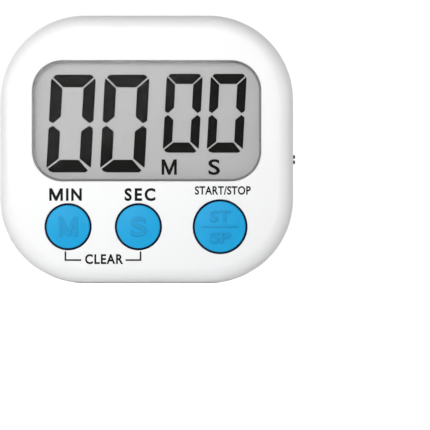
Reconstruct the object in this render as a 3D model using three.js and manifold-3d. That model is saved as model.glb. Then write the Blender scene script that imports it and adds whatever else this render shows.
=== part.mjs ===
// A digital kitchen timer: two moulded shells around a liquid crystal display, a small board,
// three round keys, a slide switch, one AAA cell, a sounder, two magnets and a fold-out stand.
//
// Everything is drawn in the face frame and turned upright once, at the end of the file.
// In the face frame X runs to the right, Y runs up from the middle of the face, and depth is
// counted in millimetres backwards from the front face, so a depth is a negative Z.
import * as THREE from 'three';
import { mergeVertices } from 'three/addons/utils/BufferGeometryUtils.js';
import Module from 'manifold-3d';

const wasm = await Module();
wasm.setup();

// ---------------------------------------------------------------- driving dimensions, in mm

// Fits
const slideGap = 0.3; // between a moving piece and what guides it
const fitGap = 0.2; // between a piece and the pocket it drops into
const seatGap = 0.1; // between flat pieces that rest on each other

// Body
const bodyWidth = 76;
const bodyHeight = 69.5;
const bodyCorner = 22; // radius of the outline's corners
const frontRound = 4.2; // radius of the edge round the face
const backRound = 2.5;
const wall = 1.6;
const partingDepth = 11.6; // where the front shell ends
const seamGap = 0.2; // the line that shows between the shells
const lipHeight = 1.4; // the rear shell's tongue inside the front shell
const lipThickness = 0.8;
const lipGap = 0.15; // between the tongue and the front shell's wall

// Window and display
const windowSideBezel = 8.3; // from the body's side to the window
const windowTopBezel = 11.7;
const windowBottomBezel = 26.5; // from the body's base to the window
const windowCorner = 7.8;
const lensRecess = 0.45; // how far the lens lies below the face
const lensFlange = 1; // width of the rim behind the wall
const lensThickness = 0.8; // thickness of that rim
const glassOverlap = 1.3; // how far the display's glass reaches past the window
const glassThickness = 0.7;
const filmThickness = 0.2; // polariser and reflector
const contactLedge = 2.5; // bare strip of the front glass, below the rear glass
const displayRib = 0.9; // wall round the glass
const displayRibCorner = 0.5; // inner corners of that wall
const zebraThickness = 1.8;
const zebraInset = 5; // from the glass's side to the strip's end

// Keys
const keyRowHeight = 14.65; // from the body's base to the key centres
const minuteKeyInset = 17.6; // from the body's left side
const secondKeyInset = 35.85; // from the body's left side
const startKeyInset = 18.95; // from the body's right side
const smallKeyRadius = 5.8;
const largeKeyRadius = 6.8;
const keyProud = 0.8; // height of the key's middle over the face
const keyDish = 0.4; // fall from its middle to the start of its edge
const keyEdge = 0.5; // width of its rounded edge
const keyShoulder = 0.15; // height of its side over the face
const keyFlange = 1; // width of the collar that keeps a key in
const keyFlangeThickness = 0.8;
const keySkin = 1.6; // thickness of the key's top
const keyWall = 0.9;
const keyTravel = 0.9;
const plungerRadius = 2.2;
const domeHeight = 1.9; // over the silicone sheet
const domeRadius = 3.6;
const domeWall = 0.5; // of the collar round a crown
const matThickness = 0.8;
const matHeight = 8.8;
const matMargin = 2; // from the outer domes to the sheet's ends
const matCorner = 1.5;
const pillRadius = 1.3;
const pillThickness = 0.35;
const contactGap = 0.05; // left under a pill when its key is right down

// Board
const boardDepth = 5.9; // its front face
const boardThickness = 1;
const boardCellGap = 0.5; // between the board's upper edge and the battery compartment
const boardSideMargin = 4.5; // from the body's side to the board
const boardBaseMargin = 5.15; // from the body's base to the board
const boardPostRadius = 2.1;
const boardPostBite = 0.5; // how far the upper posts run into the display's rib
const boardPostClearance = 0.5; // between the upper posts and the keys' collars, across the board
const boardFootHeight = 2.6; // from the board's lower edge to the lower posts
const boardCornerWidth = 10.4; // the board's cut lower corners
const boardCornerHeight = 9.6;
const boardScrewRadius = 0.7;
const boardScrewLength = 4;
const boardScrewHead = 1.5;
const boardHoleRadius = 1;
const boardBite = 0.4; // between the board and the case posts that pass it

// What sits on the back of the board: its place across, and below the board's upper edge
const chipX = 3;
const chipDrop = 6.9;
const chipRadius = 5.5;
const chipHeight = 1.5;
const crystalX = -12;
const crystalDrop = 3.3;
const crystalLength = 6;
const crystalRadius = 1;
const capacitorX = -20.5;
const capacitorDrop = 10.9;
const capacitorRadius = 2;
const capacitorHeight = 5.1;
const coilX = 20.5;
const coilDrop = 17.4;
const coilRadius = 2.6;
const coilWaist = 2.1; // radius of the winding
const coilFlange = 0.7;
const coilHeight = 4.1;

// Slide switch and its knob
const switchRise = 10.7; // from the upper board posts to the knob's middle
const switchTravel = 2;
const switchLength = 8.6; // along the side of the body
const switchThickness = 3.4; // along the depth
const switchReach = 3.8; // from its back to its face
const switchSkin = 0.4; // the can's sheet
const switchBlock = 1.2; // thickness of its pin block
const pinPitch = 2.5;
const pinWidth = 0.5;
const pinLength = 1.2;
const shoeThickness = 1.1; // of the slider inside the can
const shoeMargin = 0.7; // past the stem, along the travel
const stemSize = 1.5;
const stemLength = 4;
const knobWall = 0.35; // round the stem
const knobProud = 0.55; // height of the grip over the side
const knobGroove = 0.45;
const knobPlate = 0.8;
const knobPlateMargin = 0.6; // past the grip, along the depth

// Battery and its compartment
const cellRadius = 5.2;
const cellLength = 44.5;
const cellNubRadius = 1.9;
const cellNubLength = 0.9;
const cellRise = 4.2; // from the window's middle to the cell's axis
const cellDoorGap = 0.25;
const leadRadius = 0.5;
const springLength = 3.6;
const springRadius = 3;
const springWire = 0.3; // radius
const springTaper = 0.4; // how much of its radius the spring loses
const cellEdge = 0.5; // bevel at the cell's ends
const contactThickness = 0.4;
const contactWidth = 8;
const contactClearance = 1.4; // how much less than the cell's width a contact stands tall
const contactTail = 1.6; // how far its tail comes out of the compartment
const contactTailWidth = 2;
const dimpleRadius = 1.6;
const compartmentWall = 1.6;
const compartmentFloor = 0.9;
const doorThickness = 1.5;
const doorRim = 0.8; // how far the door rests on the compartment's walls
const doorTabLength = 1.5; // reach of the tabs under the rear wall
const doorTabThickness = 0.8;
const doorTabWidth = 5;
const doorTabSpread = 16; // from the middle to each tab
const doorRiser = 1; // thickness of what joins a tab to the door
const thumbRidge = 0.5; // width of each groove for the thumb
const thumbRidgePitch = 1.1;
const thumbRidgeDepth = 0.3;
const thumbRidgeLength = 6;

// Stand
const standWidth = 30.4;
const standLength = 26.6; // from the hinge's axis to the free end
const standThickness = 2.6;
const standBarrel = 1.45; // radius
const standPin = 1.1; // radius
const standPinLength = 1.3;
const standHeel = 2; // reach of the lug that stops the stand, above the axis
const standHeelThickness = 1;
const standHeelWidth = 12;
const standCorner = 4; // radius at the free end
const soundSlotLength = 13; // slots in the stand that let the sound out
const soundSlotWidth = 1.8;
const soundSlotPitch = 3.4;
const standFloorGap = 0.45; // between the stand's barrel and the floor of its recess
const standTopGap = 0.45; // between the recess's wall and the battery compartment
const recessWall = 1.4;
const fingerNotch = 6; // radius of the scoop under the stand's free end
const scoopRise = 1.4; // from the recess's lower edge to the scoop's centre

// Magnets, sounder, hanging slot and case screws
const magnetRadius = 7;
const magnetThickness = 2.6;
const magnetBevel = 0.3;
const magnetInset = 12; // from the body's side
const magnetHeight = 26.6; // from the body's base
const magnetFloor = 1.2;
const magnetWall = 1.4;
const discRadius = 13.5;
const discThickness = 0.25;
const ceramicRadius = 10;
const sounderRise = 0.5; // over the middle of the folded stand
const chamberDepth = 1; // air behind the sounder
const ceramicThickness = 0.2;
const soundHole = 0.8; // radius
const soundHoleRing = 4; // radius of the ring of holes
const chamberWall = 1.5;
const chamberOverlap = 0.9; // how far the disc rests on the chamber's wall
const hangHead = 3.6; // radius of the keyhole's round end
const hangSlot = 1.9; // radius of its narrow end
const hangDrop = 5; // between the two
const hangTopMargin = 10.75; // from the body's top to the round end's centre
const hangPocket = 3.2; // room behind the rear wall
const caseScrewRadius = 1;
const caseScrewHead = 2;
const caseScrewLength = 9;
const casePostRadius = 2.7;
const rearPostExtra = 0.3; // the rear posts are wider, to hold the screw heads
const casePostMargin = 5.75; // from the body's outline to a post's axis
const lowerPostAngle = 13.5; // round the corner from the side, in degrees
const upperPostAngle = 72;
const counterboreFloor = 2.8; // under a case screw's head

// Facets per quarter turn, and on the whole circle of small and large round parts
const cornerFacets = 8;
const smallFacets = 12;
const roundFacets = 28;

// ---------------------------------------------------------------- places that follow from them

const halfWidth = bodyWidth / 2;
const halfHeight = bodyHeight / 2;
const fromBase = (height) => height - halfHeight;

const windowWidth = bodyWidth - 2 * windowSideBezel;
const windowHeight = bodyHeight - windowTopBezel - windowBottomBezel;
const windowY = halfHeight - windowTopBezel - windowHeight / 2;
const windowBottom = windowY - windowHeight / 2;

const lensBack = wall + seatGap + lensThickness;
const frontFilmDepth = lensBack + seatGap;
const frontGlassDepth = frontFilmDepth + filmThickness + seatGap / 2;
const rearGlassDepth = frontGlassDepth + glassThickness + seatGap / 2;
const reflectorDepth = rearGlassDepth + glassThickness + seatGap / 2;
const displayBack = reflectorDepth + filmThickness;
const glassWidth = windowWidth + 2 * glassOverlap;
const glassTop = windowY + windowHeight / 2 + glassOverlap;
const rearGlassBottom = windowBottom - seatGap;
const glassBottom = rearGlassBottom - contactLedge;

const keyY = fromBase(keyRowHeight);
const keys = [
  { name: 'minute', x: -halfWidth + minuteKeyInset, radius: smallKeyRadius },
  { name: 'second', x: -halfWidth + secondKeyInset, radius: smallKeyRadius },
  { name: 'start_stop', x: halfWidth - startKeyInset, radius: largeKeyRadius },
];
const flangeDepth = wall + seatGap;
const matDepth = boardDepth - seatGap - matThickness;
const domeDepth = matDepth - domeHeight;
const pillBack = boardDepth - keyTravel - contactGap;
const pillFront = pillBack - pillThickness;

const cellY = windowY + cellRise;
const compartmentHalfHeight = cellRadius + 2 * fitGap;
const compartmentHalfLength =
  (cellLength + springLength + 2 * contactThickness + 4 * seatGap) / 2 + slideGap / 2;
const compartmentDepth = displayBack + fitGap;
const cellDepth = compartmentDepth + compartmentFloor + fitGap + cellRadius;
const doorDepth = cellDepth + cellRadius + cellDoorGap;
const bodyDepth = doorDepth + doorThickness;
const rearWallFace = bodyDepth - wall;
const compartmentBottom = cellY - compartmentHalfHeight - compartmentWall;
const doorHalfHeight = compartmentHalfHeight + doorRim;
const doorHalfLength = compartmentHalfLength + doorRim;
const cellBack = -compartmentHalfLength + seatGap + contactThickness + springLength + seatGap;

// A case post stands at an angle round one of the outline's corners; sideX and sideY are -1 or 1.
function casePost(sideX, sideY, angle) {
  const reach = bodyCorner - casePostMargin;
  const radians = (angle * Math.PI) / 180;
  return [
    sideX * (halfWidth - bodyCorner + reach * Math.cos(radians)),
    sideY * (halfHeight - bodyCorner + reach * Math.sin(radians)),
  ];
}
const casePosts = [
  casePost(-1, -1, lowerPostAngle),
  casePost(1, -1, lowerPostAngle),
  casePost(-1, 1, upperPostAngle),
  casePost(1, 1, upperPostAngle),
];
const caseHeadDepth = partingDepth + seamGap + counterboreFloor;
const boardPostY = glassBottom - displayRib - boardPostRadius + boardPostBite;
const keyReach = (key) => Math.abs(key.x) + key.radius + keyFlange;
const boardPostX = Math.max(...keys.map(keyReach)) + boardPostClearance;
const lowerBoardPostY = fromBase(boardBaseMargin) + boardFootHeight;
const boardPosts = [
  [-boardPostX, boardPostY],
  [boardPostX, boardPostY],
  [(keys[0].x + keys[1].x) / 2, lowerBoardPostY],
  [(keys[1].x + keys[2].x) / 2, lowerBoardPostY],
];
const boardBack = boardDepth + boardThickness;
const caseScrewTip = caseHeadDepth - caseScrewLength - slideGap;
const boardScrewTip = boardBack - boardScrewLength - slideGap;
const boardTop = compartmentBottom - boardCellGap;

const switchY = boardPostY + switchRise;
const switchDepth = boardBack + seatGap + switchThickness / 2;
const knobHalf = stemSize / 2 + seatGap / 2 + knobWall; // half the grip's side
const innerSide = halfWidth - wall;
const switchFace = innerSide + wall - 1 - stemLength; // the stem ends 1 mm below the side

const hingeY = compartmentBottom - standTopGap - recessWall - slideGap - standHeel;
const hingeDepth = bodyDepth - standBarrel - seatGap / 2;
const recessHalfWidth = standWidth / 2 + slideGap;
const recessTop = hingeY + standHeel + slideGap;
const recessBottom = hingeY - standLength - 2 * slideGap;
const recessFloor = hingeDepth - standBarrel - standFloorGap;
const scoopY = recessBottom + scoopRise;

const magnetX = halfWidth - magnetInset;
const magnetY = fromBase(magnetHeight);
const sounderY = hingeY - standLength / 2 + sounderRise;
const discDepth = recessFloor - recessWall - chamberDepth - seatGap - discThickness;
const ceramicDepth = discDepth - seatGap - ceramicThickness;
const hangY = halfHeight - hangTopMargin;

// ---------------------------------------------------------------- making and joining solids

// A closed three.js geometry as a manifold-3d solid.
function solid(geometry) {
  const bare = geometry.index ? geometry.toNonIndexed() : geometry.clone();
  bare.deleteAttribute('normal');
  bare.deleteAttribute('uv');
  const merged = mergeVertices(bare, 1e-4);
  return new wasm.Manifold(
    new wasm.Mesh({
      numProp: 3,
      vertProperties: merged.attributes.position.array,
      triVerts: new Uint32Array(merged.index.array),
    }),
  );
}

// A manifold-3d solid as a three.js geometry.
function geometryOf(made) {
  const mesh = made.getMesh();
  const geometry = new THREE.BufferGeometry();
  geometry.setAttribute('position', new THREE.BufferAttribute(mesh.vertProperties, 3));
  geometry.setIndex(new THREE.BufferAttribute(mesh.triVerts, 1));
  geometry.computeVertexNormals();
  return geometry;
}

const join = (...solids) => solids.reduce((whole, next) => whole.add(next));
const cut = (whole, ...tools) => tools.reduce((left, tool) => left.subtract(tool), whole);

// A rectangle with round corners, centred on (x, y).
function roundedRectangle(width, height, corner, x = 0, y = 0) {
  const [w, h, r] = [width / 2, height / 2, corner];
  const shape = new THREE.Shape();
  shape.absarc(x + w - r, y + h - r, r, 0, Math.PI / 2);
  shape.absarc(x - w + r, y + h - r, r, Math.PI / 2, Math.PI);
  shape.absarc(x - w + r, y - h + r, r, Math.PI, 1.5 * Math.PI);
  shape.absarc(x + w - r, y - h + r, r, 1.5 * Math.PI, 2 * Math.PI);
  return shape;
}

const polygon = (points) => new THREE.Shape(points.map(([x, y]) => new THREE.Vector2(x, y)));

// A flat shape given thickness, from one depth to a greater one.
function slab(shape, near, far, facets = cornerFacets) {
  const geometry = new THREE.ExtrudeGeometry(shape, {
    depth: far - near,
    bevelEnabled: false,
    curveSegments: facets,
  });
  return solid(geometry.translate(0, 0, -far));
}

// A box between two values of X, of Y and of depth.
function block(x0, x1, y0, y1, near, far) {
  const geometry = new THREE.BoxGeometry(x1 - x0, y1 - y0, far - near);
  return solid(geometry.translate((x0 + x1) / 2, (y0 + y1) / 2, -(near + far) / 2));
}

// A cylinder along the depth.
function rod(radius, x, y, near, far, facets = roundFacets) {
  const geometry = new THREE.CylinderGeometry(radius, radius, far - near, facets);
  geometry.rotateX(Math.PI / 2).translate(x, y, -(near + far) / 2);
  return solid(geometry);
}

// A cylinder along X.
function bar(radius, x0, x1, y, depth, facets = smallFacets) {
  const geometry = new THREE.CylinderGeometry(radius, radius, x1 - x0, facets);
  geometry.rotateZ(Math.PI / 2).translate((x0 + x1) / 2, y, -depth);
  return solid(geometry);
}

// A turned piece along the depth: its profile is a list of [radius, depth], front to back.
function turned(profile, x, y, facets = roundFacets) {
  const points = profile.map(([radius, depth]) => new THREE.Vector2(radius, -depth)).reverse();
  const geometry = new THREE.LatheGeometry(points, facets);
  return solid(geometry.rotateX(Math.PI / 2).translate(x, y, 0));
}

// A round wire through a list of [x, y, depth].
function wire(points, radius, steps, sides = 8) {
  const line = new THREE.CatmullRomCurve3(points.map(([x, y, d]) => new THREE.Vector3(x, y, -d)));
  const section = new THREE.Shape();
  section.absarc(0, 0, radius, 0, 2 * Math.PI);
  return solid(
    new THREE.ExtrudeGeometry(section, {
      steps,
      extrudePath: line,
      curveSegments: sides,
      bevelEnabled: false,
    }),
  );
}

// The body's outline, inset all round, from a flat front with a rounded edge to a plain back.
function cushion(inset, round, near, far, steps) {
  const outline = roundedRectangle(
    bodyWidth - 2 * inset,
    bodyHeight - 2 * inset,
    bodyCorner - inset,
  );
  const geometry = new THREE.ExtrudeGeometry(outline, {
    depth: far - near,
    bevelThickness: round,
    bevelSize: round,
    bevelOffset: -round,
    bevelSegments: steps,
    curveSegments: cornerFacets,
  });
  const both = solid(geometry.translate(0, 0, -far - round));
  return both.intersect(block(-halfWidth, halfWidth, -halfHeight, halfHeight, near - 1, far));
}

// The same with its rounded edge at the back, at the greater depth.
function backCushion(inset, round, near, far, steps) {
  const turnedOver = cushion(inset, round, 0, far - near, steps).rotate([180, 0, 0]);
  return turnedOver.translate([0, 0, -far]);
}

const material = (color, roughness, metalness = 0, opacity = 1) =>
  new THREE.MeshStandardMaterial({
    color,
    roughness,
    metalness,
    opacity,
    transparent: opacity < 1,
  });

const whiteShell = material('#f2f2f1', 0.28);
const blueKey = material('#31a5dc', 0.3);
const clearLens = material('#ffffff', 0.08, 0, 0.2);
const displayGlass = material('#d5dad6', 0.1, 0, 0.35);
const displayFilm = material('#bbbbbb', 0.45);
const zebraRubber = material('#d9c9c4', 0.7);
const boardGreen = material('#1f5b38', 0.5);
const blackPlastic = material('#121213', 0.45);
const epoxy = material('#0d0d0e', 0.3);
const silicone = material('#b9bdbe', 0.65);
const carbon = material('#1b1b1c', 0.85);
const steel = material('#c4c6c8', 0.3, 1);
const nickel = material('#d0d0ce', 0.2, 1);
const brass = material('#c9a24a', 0.35, 1);
const ceramic = material('#e9e6dc', 0.6);
const redSleeve = material('#b81f1f', 0.5);
const blackSleeve = material('#161616', 0.5);
const cellWrap = material('#3a6a4a', 0.35);

const timer = new THREE.Group();

function addPiece(name, made, finish, parent = timer) {
  const mesh = new THREE.Mesh(geometryOf(made), finish);
  mesh.name = name;
  parent.add(mesh);
  return mesh;
}

// ---------------------------------------------------------------- shells

// The slot in the front shell's right side, long enough for the knob at both ends of its travel.
function knobSlot() {
  const reach = knobHalf + slideGap;
  return block(
    innerSide - 1,
    halfWidth + 1,
    switchY - reach - switchTravel,
    switchY + reach,
    switchDepth - reach,
    switchDepth + reach,
  );
}

// The wall that holds the display's glass by its edges.
function displayFence() {
  const height = glassTop - glassBottom;
  const middle = (glassTop + glassBottom) / 2;
  const ring = (margin) =>
    roundedRectangle(
      glassWidth + 2 * margin,
      height + 2 * margin,
      margin - fitGap + displayRibCorner,
      0,
      middle,
    );
  const inside = slab(ring(fitGap), wall - 1, displayBack + 1, 3);
  return cut(slab(ring(fitGap + displayRib), wall - seatGap, displayBack, 3), inside);
}

function frontShell() {
  const outer = cushion(0, frontRound, 0, partingDepth, 6);
  const hollow = cushion(wall, frontRound - wall, wall, partingDepth + 1, 3);
  const opening = roundedRectangle(windowWidth, windowHeight, windowCorner, 0, windowY);
  const casePillars = casePosts.map(([x, y]) =>
    rod(casePostRadius, x, y, wall - seatGap, partingDepth, smallFacets),
  );
  const boardPillars = boardPosts.map(([x, y]) =>
    rod(boardPostRadius, x, y, wall - seatGap, boardDepth - seatGap, smallFacets),
  );
  const pilots = [
    ...casePosts.map(([x, y]) =>
      rod(caseScrewRadius + seatGap, x, y, caseScrewTip, partingDepth + 1, smallFacets),
    ),
    ...boardPosts.map(([x, y]) =>
      rod(boardScrewRadius + seatGap, x, y, boardScrewTip, boardDepth + 1, smallFacets),
    ),
  ];
  const keyHoles = keys.map(({ x, radius }) => rod(radius + slideGap, x, keyY, -1, wall + 1));
  const skin = cut(outer, hollow, slab(opening, -1, wall + 1), ...keyHoles, knobSlot());
  const fence = displayFence().intersect(outer);
  return cut(join(skin, fence, ...casePillars, ...boardPillars), ...pilots);
}

// Room for the stand, with its hinge sockets and the scoop for a fingertip.
function standRecess() {
  const space = block(
    -recessHalfWidth,
    recessHalfWidth,
    recessBottom,
    recessTop,
    recessFloor,
    bodyDepth + 1,
  );
  const reach = recessHalfWidth + standPinLength + slideGap;
  const sockets = bar(standPin + fitGap, -reach, reach, hingeY, hingeDepth);
  const scoop = rod(fingerNotch, 0, scoopY, recessFloor, bodyDepth + 1);
  return join(space, sockets, scoop);
}

function standRecessWalls() {
  const side = recessHalfWidth + standPinLength + slideGap + recessWall;
  const pan = block(
    -side,
    side,
    recessBottom - recessWall,
    recessTop + recessWall,
    recessFloor - recessWall,
    rearWallFace + seatGap,
  );
  const scoopWall = rod(
    fingerNotch + recessWall,
    0,
    scoopY,
    recessFloor - recessWall,
    rearWallFace + seatGap,
  );
  return join(pan, scoopWall);
}

// The round holes that let the sound out, one in the middle and six round it.
function soundHoles() {
  const ring = [0, 1, 2, 3, 4, 5].map((n) => {
    const angle = (n * Math.PI) / 3;
    return [soundHoleRing * Math.cos(angle), soundHoleRing * Math.sin(angle)];
  });
  return [[0, 0], ...ring].map(([x, y]) =>
    rod(soundHole, x, sounderY + y, recessFloor - recessWall - 1, recessFloor + 1, 12),
  );
}

function compartmentWalls() {
  const x = compartmentHalfLength + compartmentWall;
  const y = compartmentHalfHeight + compartmentWall;
  return block(-x, x, cellY - y, cellY + y, compartmentDepth, rearWallFace + seatGap);
}

// The space for the cell, its door, the door's tabs and the tails of the two contacts.
function compartmentSpace() {
  const [x, y] = [compartmentHalfLength, compartmentHalfHeight];
  const cellSpace = block(
    -x,
    x,
    cellY - y,
    cellY + y,
    compartmentDepth + compartmentFloor,
    bodyDepth + 1,
  );
  const doorSpace = block(
    -doorHalfLength - fitGap,
    doorHalfLength + fitGap,
    cellY - doorHalfHeight - fitGap,
    cellY + doorHalfHeight + fitGap,
    doorDepth - seatGap,
    bodyDepth + 1,
  );
  const tabSlots = [-doorTabSpread, doorTabSpread].map((middle) =>
    block(
      middle - doorTabWidth / 2 - slideGap,
      middle + doorTabWidth / 2 + slideGap,
      cellY + y - 1,
      cellY + y + compartmentWall + 1,
      doorDepth - 3,
      rearWallFace,
    ),
  );
  const tailSlot = block(
    -x - compartmentWall - 1,
    x + compartmentWall + 1,
    cellY - contactTailWidth / 2 - slideGap,
    cellY + contactTailWidth / 2 + slideGap,
    compartmentDepth + compartmentFloor,
    compartmentDepth + compartmentFloor + fitGap + 2 * contactThickness,
  );
  return [cellSpace, doorSpace, ...tabSlots, tailSlot];
}

// The keyhole in the rear wall and the pocket behind it.
function hangingSlot() {
  const head = rod(hangHead, 0, hangY, rearWallFace - 1, bodyDepth + 1, 24);
  const slotTop = hangY + hangDrop;
  const narrow = join(
    rod(hangSlot, 0, slotTop, rearWallFace - 1, bodyDepth + 1, 16),
    block(-hangSlot, hangSlot, hangY, slotTop, rearWallFace - 1, bodyDepth + 1),
  );
  return [head, narrow, hangingPocket(0)];
}

function hangingPocket(margin) {
  const front = rearWallFace - hangPocket - margin;
  return block(
    -hangHead - margin - fitGap,
    hangHead + margin + fitGap,
    hangY - hangHead - margin,
    hangY + hangDrop + hangSlot + margin,
    front,
    rearWallFace + (margin ? seatGap : 0),
  );
}

// The tongue that centres the rear shell in the front shell, open beside the switch.
function lip() {
  const near = partingDepth - lipHeight;
  const far = partingDepth + seamGap + wall;
  const inset = wall + lipGap;
  const outline = (margin) =>
    roundedRectangle(bodyWidth - 2 * margin, bodyHeight - 2 * margin, bodyCorner - margin);
  const ring = cut(
    slab(outline(inset), near, far),
    slab(outline(inset + lipThickness), near - 1, far + 1),
  );
  const root = cut(
    slab(outline(wall / 2), partingDepth + seamGap, far),
    slab(outline(inset + lipThickness), near - 1, far + 1),
  );
  const knobRoom = block(
    halfWidth / 2,
    halfWidth + 1,
    switchY - switchLength,
    switchY + switchLength,
    near - 1,
    partingDepth + seamGap,
  );
  return cut(join(ring, root), knobRoom);
}

function rearShell() {
  const front = partingDepth + seamGap;
  const outer = backCushion(0, backRound, front, bodyDepth, 4);
  const hollow = backCushion(wall, backRound - wall, front - 1, rearWallFace, 2);
  const posts = casePosts.map(([x, y]) =>
    rod(casePostRadius + rearPostExtra, x, y, front, rearWallFace + seatGap, smallFacets),
  );
  const screwHoles = casePosts.flatMap(([x, y]) => [
    rod(caseScrewRadius + fitGap, x, y, front - 1, bodyDepth + 1, smallFacets),
    rod(caseScrewHead + slideGap, x, y, caseHeadDepth, bodyDepth + 1, 20),
  ]);
  const pocketFloor = bodyDepth - magnetThickness - seatGap;
  const magnetWalls = [-magnetX, magnetX].map((x) =>
    rod(magnetRadius + magnetWall, x, magnetY, pocketFloor - magnetFloor, rearWallFace + seatGap),
  );
  const magnetPockets = [-magnetX, magnetX].map((x) =>
    rod(magnetRadius + fitGap, x, magnetY, pocketFloor, bodyDepth + 1),
  );
  const chamberBack = recessFloor - recessWall;
  const chamberFront = chamberBack - chamberDepth;
  const chamberRadius = discRadius - chamberOverlap;
  const chamberRing = cut(
    rod(chamberRadius + chamberWall, 0, sounderY, chamberFront, chamberBack + seatGap),
    rod(chamberRadius, 0, sounderY, chamberFront - 1, recessFloor),
  );
  const walls = join(
    cut(outer, hollow),
    lip(),
    ...posts,
    ...magnetWalls,
    standRecessWalls(),
    chamberRing,
    compartmentWalls(),
    hangingPocket(compartmentWall),
  );
  return cut(
    walls,
    ...screwHoles,
    ...magnetPockets,
    standRecess(),
    ...soundHoles(),
    ...compartmentSpace(),
    ...hangingSlot(),
  );
}

// ---------------------------------------------------------------- window and display

function displayLens() {
  const plug = roundedRectangle(
    windowWidth - 2 * fitGap,
    windowHeight - 2 * fitGap,
    windowCorner - fitGap,
    0,
    windowY,
  );
  const flange = roundedRectangle(
    windowWidth + 2 * lensFlange,
    windowHeight + 2 * lensFlange,
    windowCorner + lensFlange,
    0,
    windowY,
  );
  return join(slab(plug, lensRecess, lensBack), slab(flange, wall + seatGap, lensBack));
}

// A flat layer of the display, from a lower edge to the top of the glass.
function displayLayer(bottom, inset, depth, thickness) {
  const x = glassWidth / 2 - inset;
  return block(-x, x, bottom + inset, glassTop - inset, depth, depth + thickness);
}

function zebraStrip() {
  const x = glassWidth / 2 - zebraInset;
  const top = rearGlassBottom - (contactLedge - zebraThickness) / 2;
  const front = frontGlassDepth + glassThickness + seatGap / 2;
  return block(-x, x, top - zebraThickness, top, front, boardDepth - seatGap / 2);
}

// ---------------------------------------------------------------- keys

function keyCap({ x, radius }) {
  const flat = radius - keyEdge;
  const crown = [0, 0.4, 0.7, 1].map((share) => [flat * share, keyDish * share ** 2 - keyProud]);
  const edge = [1, 2].map((step) => {
    const angle = (step * Math.PI) / 4;
    const fall = keyProud - keyDish - keyShoulder;
    return [flat + keyEdge * Math.sin(angle), -keyShoulder - fall * Math.cos(angle)];
  });
  const inside = keySkin - keyProud;
  const collarBack = flangeDepth + keyFlangeThickness;
  return turned(
    [
      ...crown,
      ...edge,
      [radius, flangeDepth],
      [radius + keyFlange, flangeDepth],
      [radius + keyFlange, collarBack],
      [radius - keyWall, collarBack],
      [radius - keyWall, inside],
      [plungerRadius, inside],
      [plungerRadius, domeDepth - seatGap],
      [0, domeDepth - seatGap],
    ],
    x,
    keyY,
  );
}

// The silicone sheet on the board. A collar rises from it round the crown of each dome.
function keyMat() {
  const left = keys[0].x - domeRadius - matMargin;
  const right = keys[2].x + domeRadius + matMargin;
  const sheet = roundedRectangle(right - left, matHeight, matCorner, (left + right) / 2, keyY);
  const inner = plungerRadius + slideGap;
  const collars = keys.map(({ x }) =>
    turned(
      [
        [0, domeDepth + slideGap],
        [inner + domeWall, domeDepth + slideGap],
        [domeRadius, matDepth + seatGap],
        [0, matDepth + seatGap],
      ],
      x,
      keyY,
      20,
    ),
  );
  const holes = keys.map(({ x }) => rod(inner, x, keyY, domeDepth - 1, boardDepth + 1, 20));
  return cut(join(slab(sheet, matDepth, matDepth + matThickness, 4), ...collars), ...holes);
}

// The crown of a dome, between a key's plunger and its pill.
function domeCrown({ x }) {
  return rod(plungerRadius, x, keyY, domeDepth, pillFront - seatGap, 20);
}

// The conductive pill under a crown, which closes the contact on the board.
function contactPill({ x }) {
  return rod(pillRadius, x, keyY, pillFront, pillBack, smallFacets);
}

// ---------------------------------------------------------------- board and what it carries

function mainBoard() {
  const side = halfWidth - boardSideMargin;
  const base = fromBase(boardBaseMargin);
  const right = [
    [side, boardTop],
    [side, base + boardCornerHeight],
    [side - boardCornerWidth, base],
  ];
  const left = right.map(([x, y]) => [-x, y]).reverse();
  const plate = slab(polygon([...right, ...left].reverse()), boardDepth, boardBack);
  const holes = boardPosts.map(([x, y]) =>
    rod(boardHoleRadius, x, y, boardDepth - 1, boardBack + 1, smallFacets),
  );
  const bites = casePosts.map(([x, y]) =>
    rod(casePostRadius + boardBite, x, y, boardDepth - 1, boardBack + 1, 20),
  );
  return cut(plate, ...holes, ...bites);
}

function chipBlob() {
  const top = boardBack + seatGap;
  const profile = [0, 1, 2, 3, 4].map((n) => {
    const angle = ((4 - n) * Math.PI) / 8;
    return [chipRadius * Math.cos(angle), top + chipHeight * Math.sin(angle)];
  });
  return turned([[0, top], ...profile.reverse()], chipX, boardTop - chipDrop, 20);
}

function crystalCan() {
  const depth = boardBack + seatGap + crystalRadius;
  const half = crystalLength / 2;
  return bar(crystalRadius, crystalX - half, crystalX + half, boardTop - crystalDrop, depth);
}

function capacitor() {
  const near = boardBack + seatGap;
  const far = near + capacitorHeight;
  return rod(capacitorRadius, capacitorX, boardTop - capacitorDrop, near, far, 20);
}

// The coil that raises the sounder's voltage: a ferrite drum with a wound waist.
function chokeCoil() {
  const near = boardBack + seatGap;
  return turned(
    [
      [0, near],
      [coilRadius, near],
      [coilRadius, near + coilFlange],
      [coilWaist, near + coilFlange + 0.2],
      [coilWaist, near + coilHeight - coilFlange - 0.2],
      [coilRadius, near + coilHeight - coilFlange],
      [coilRadius, near + coilHeight],
      [0, near + coilHeight],
    ],
    coilX,
    boardTop - coilDrop,
    24,
  );
}

function switchCan() {
  const middle = switchY - switchTravel / 2;
  const boxed = (margin, back, front) =>
    block(
      back,
      front,
      middle - switchLength / 2 + margin,
      middle + switchLength / 2 - margin,
      switchDepth - switchThickness / 2 + margin,
      switchDepth + switchThickness / 2 - margin,
    );
  const back = switchFace - switchReach;
  const reach = stemSize / 2 + slideGap;
  const slot = block(
    switchFace - 1,
    switchFace + 1,
    switchY - switchTravel - reach,
    switchY + reach,
    switchDepth - reach,
    switchDepth + reach,
  );
  const inside = boxed(switchSkin, back - 1, switchFace - switchSkin);
  return cut(boxed(0, back, switchFace), inside, slot);
}

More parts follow.
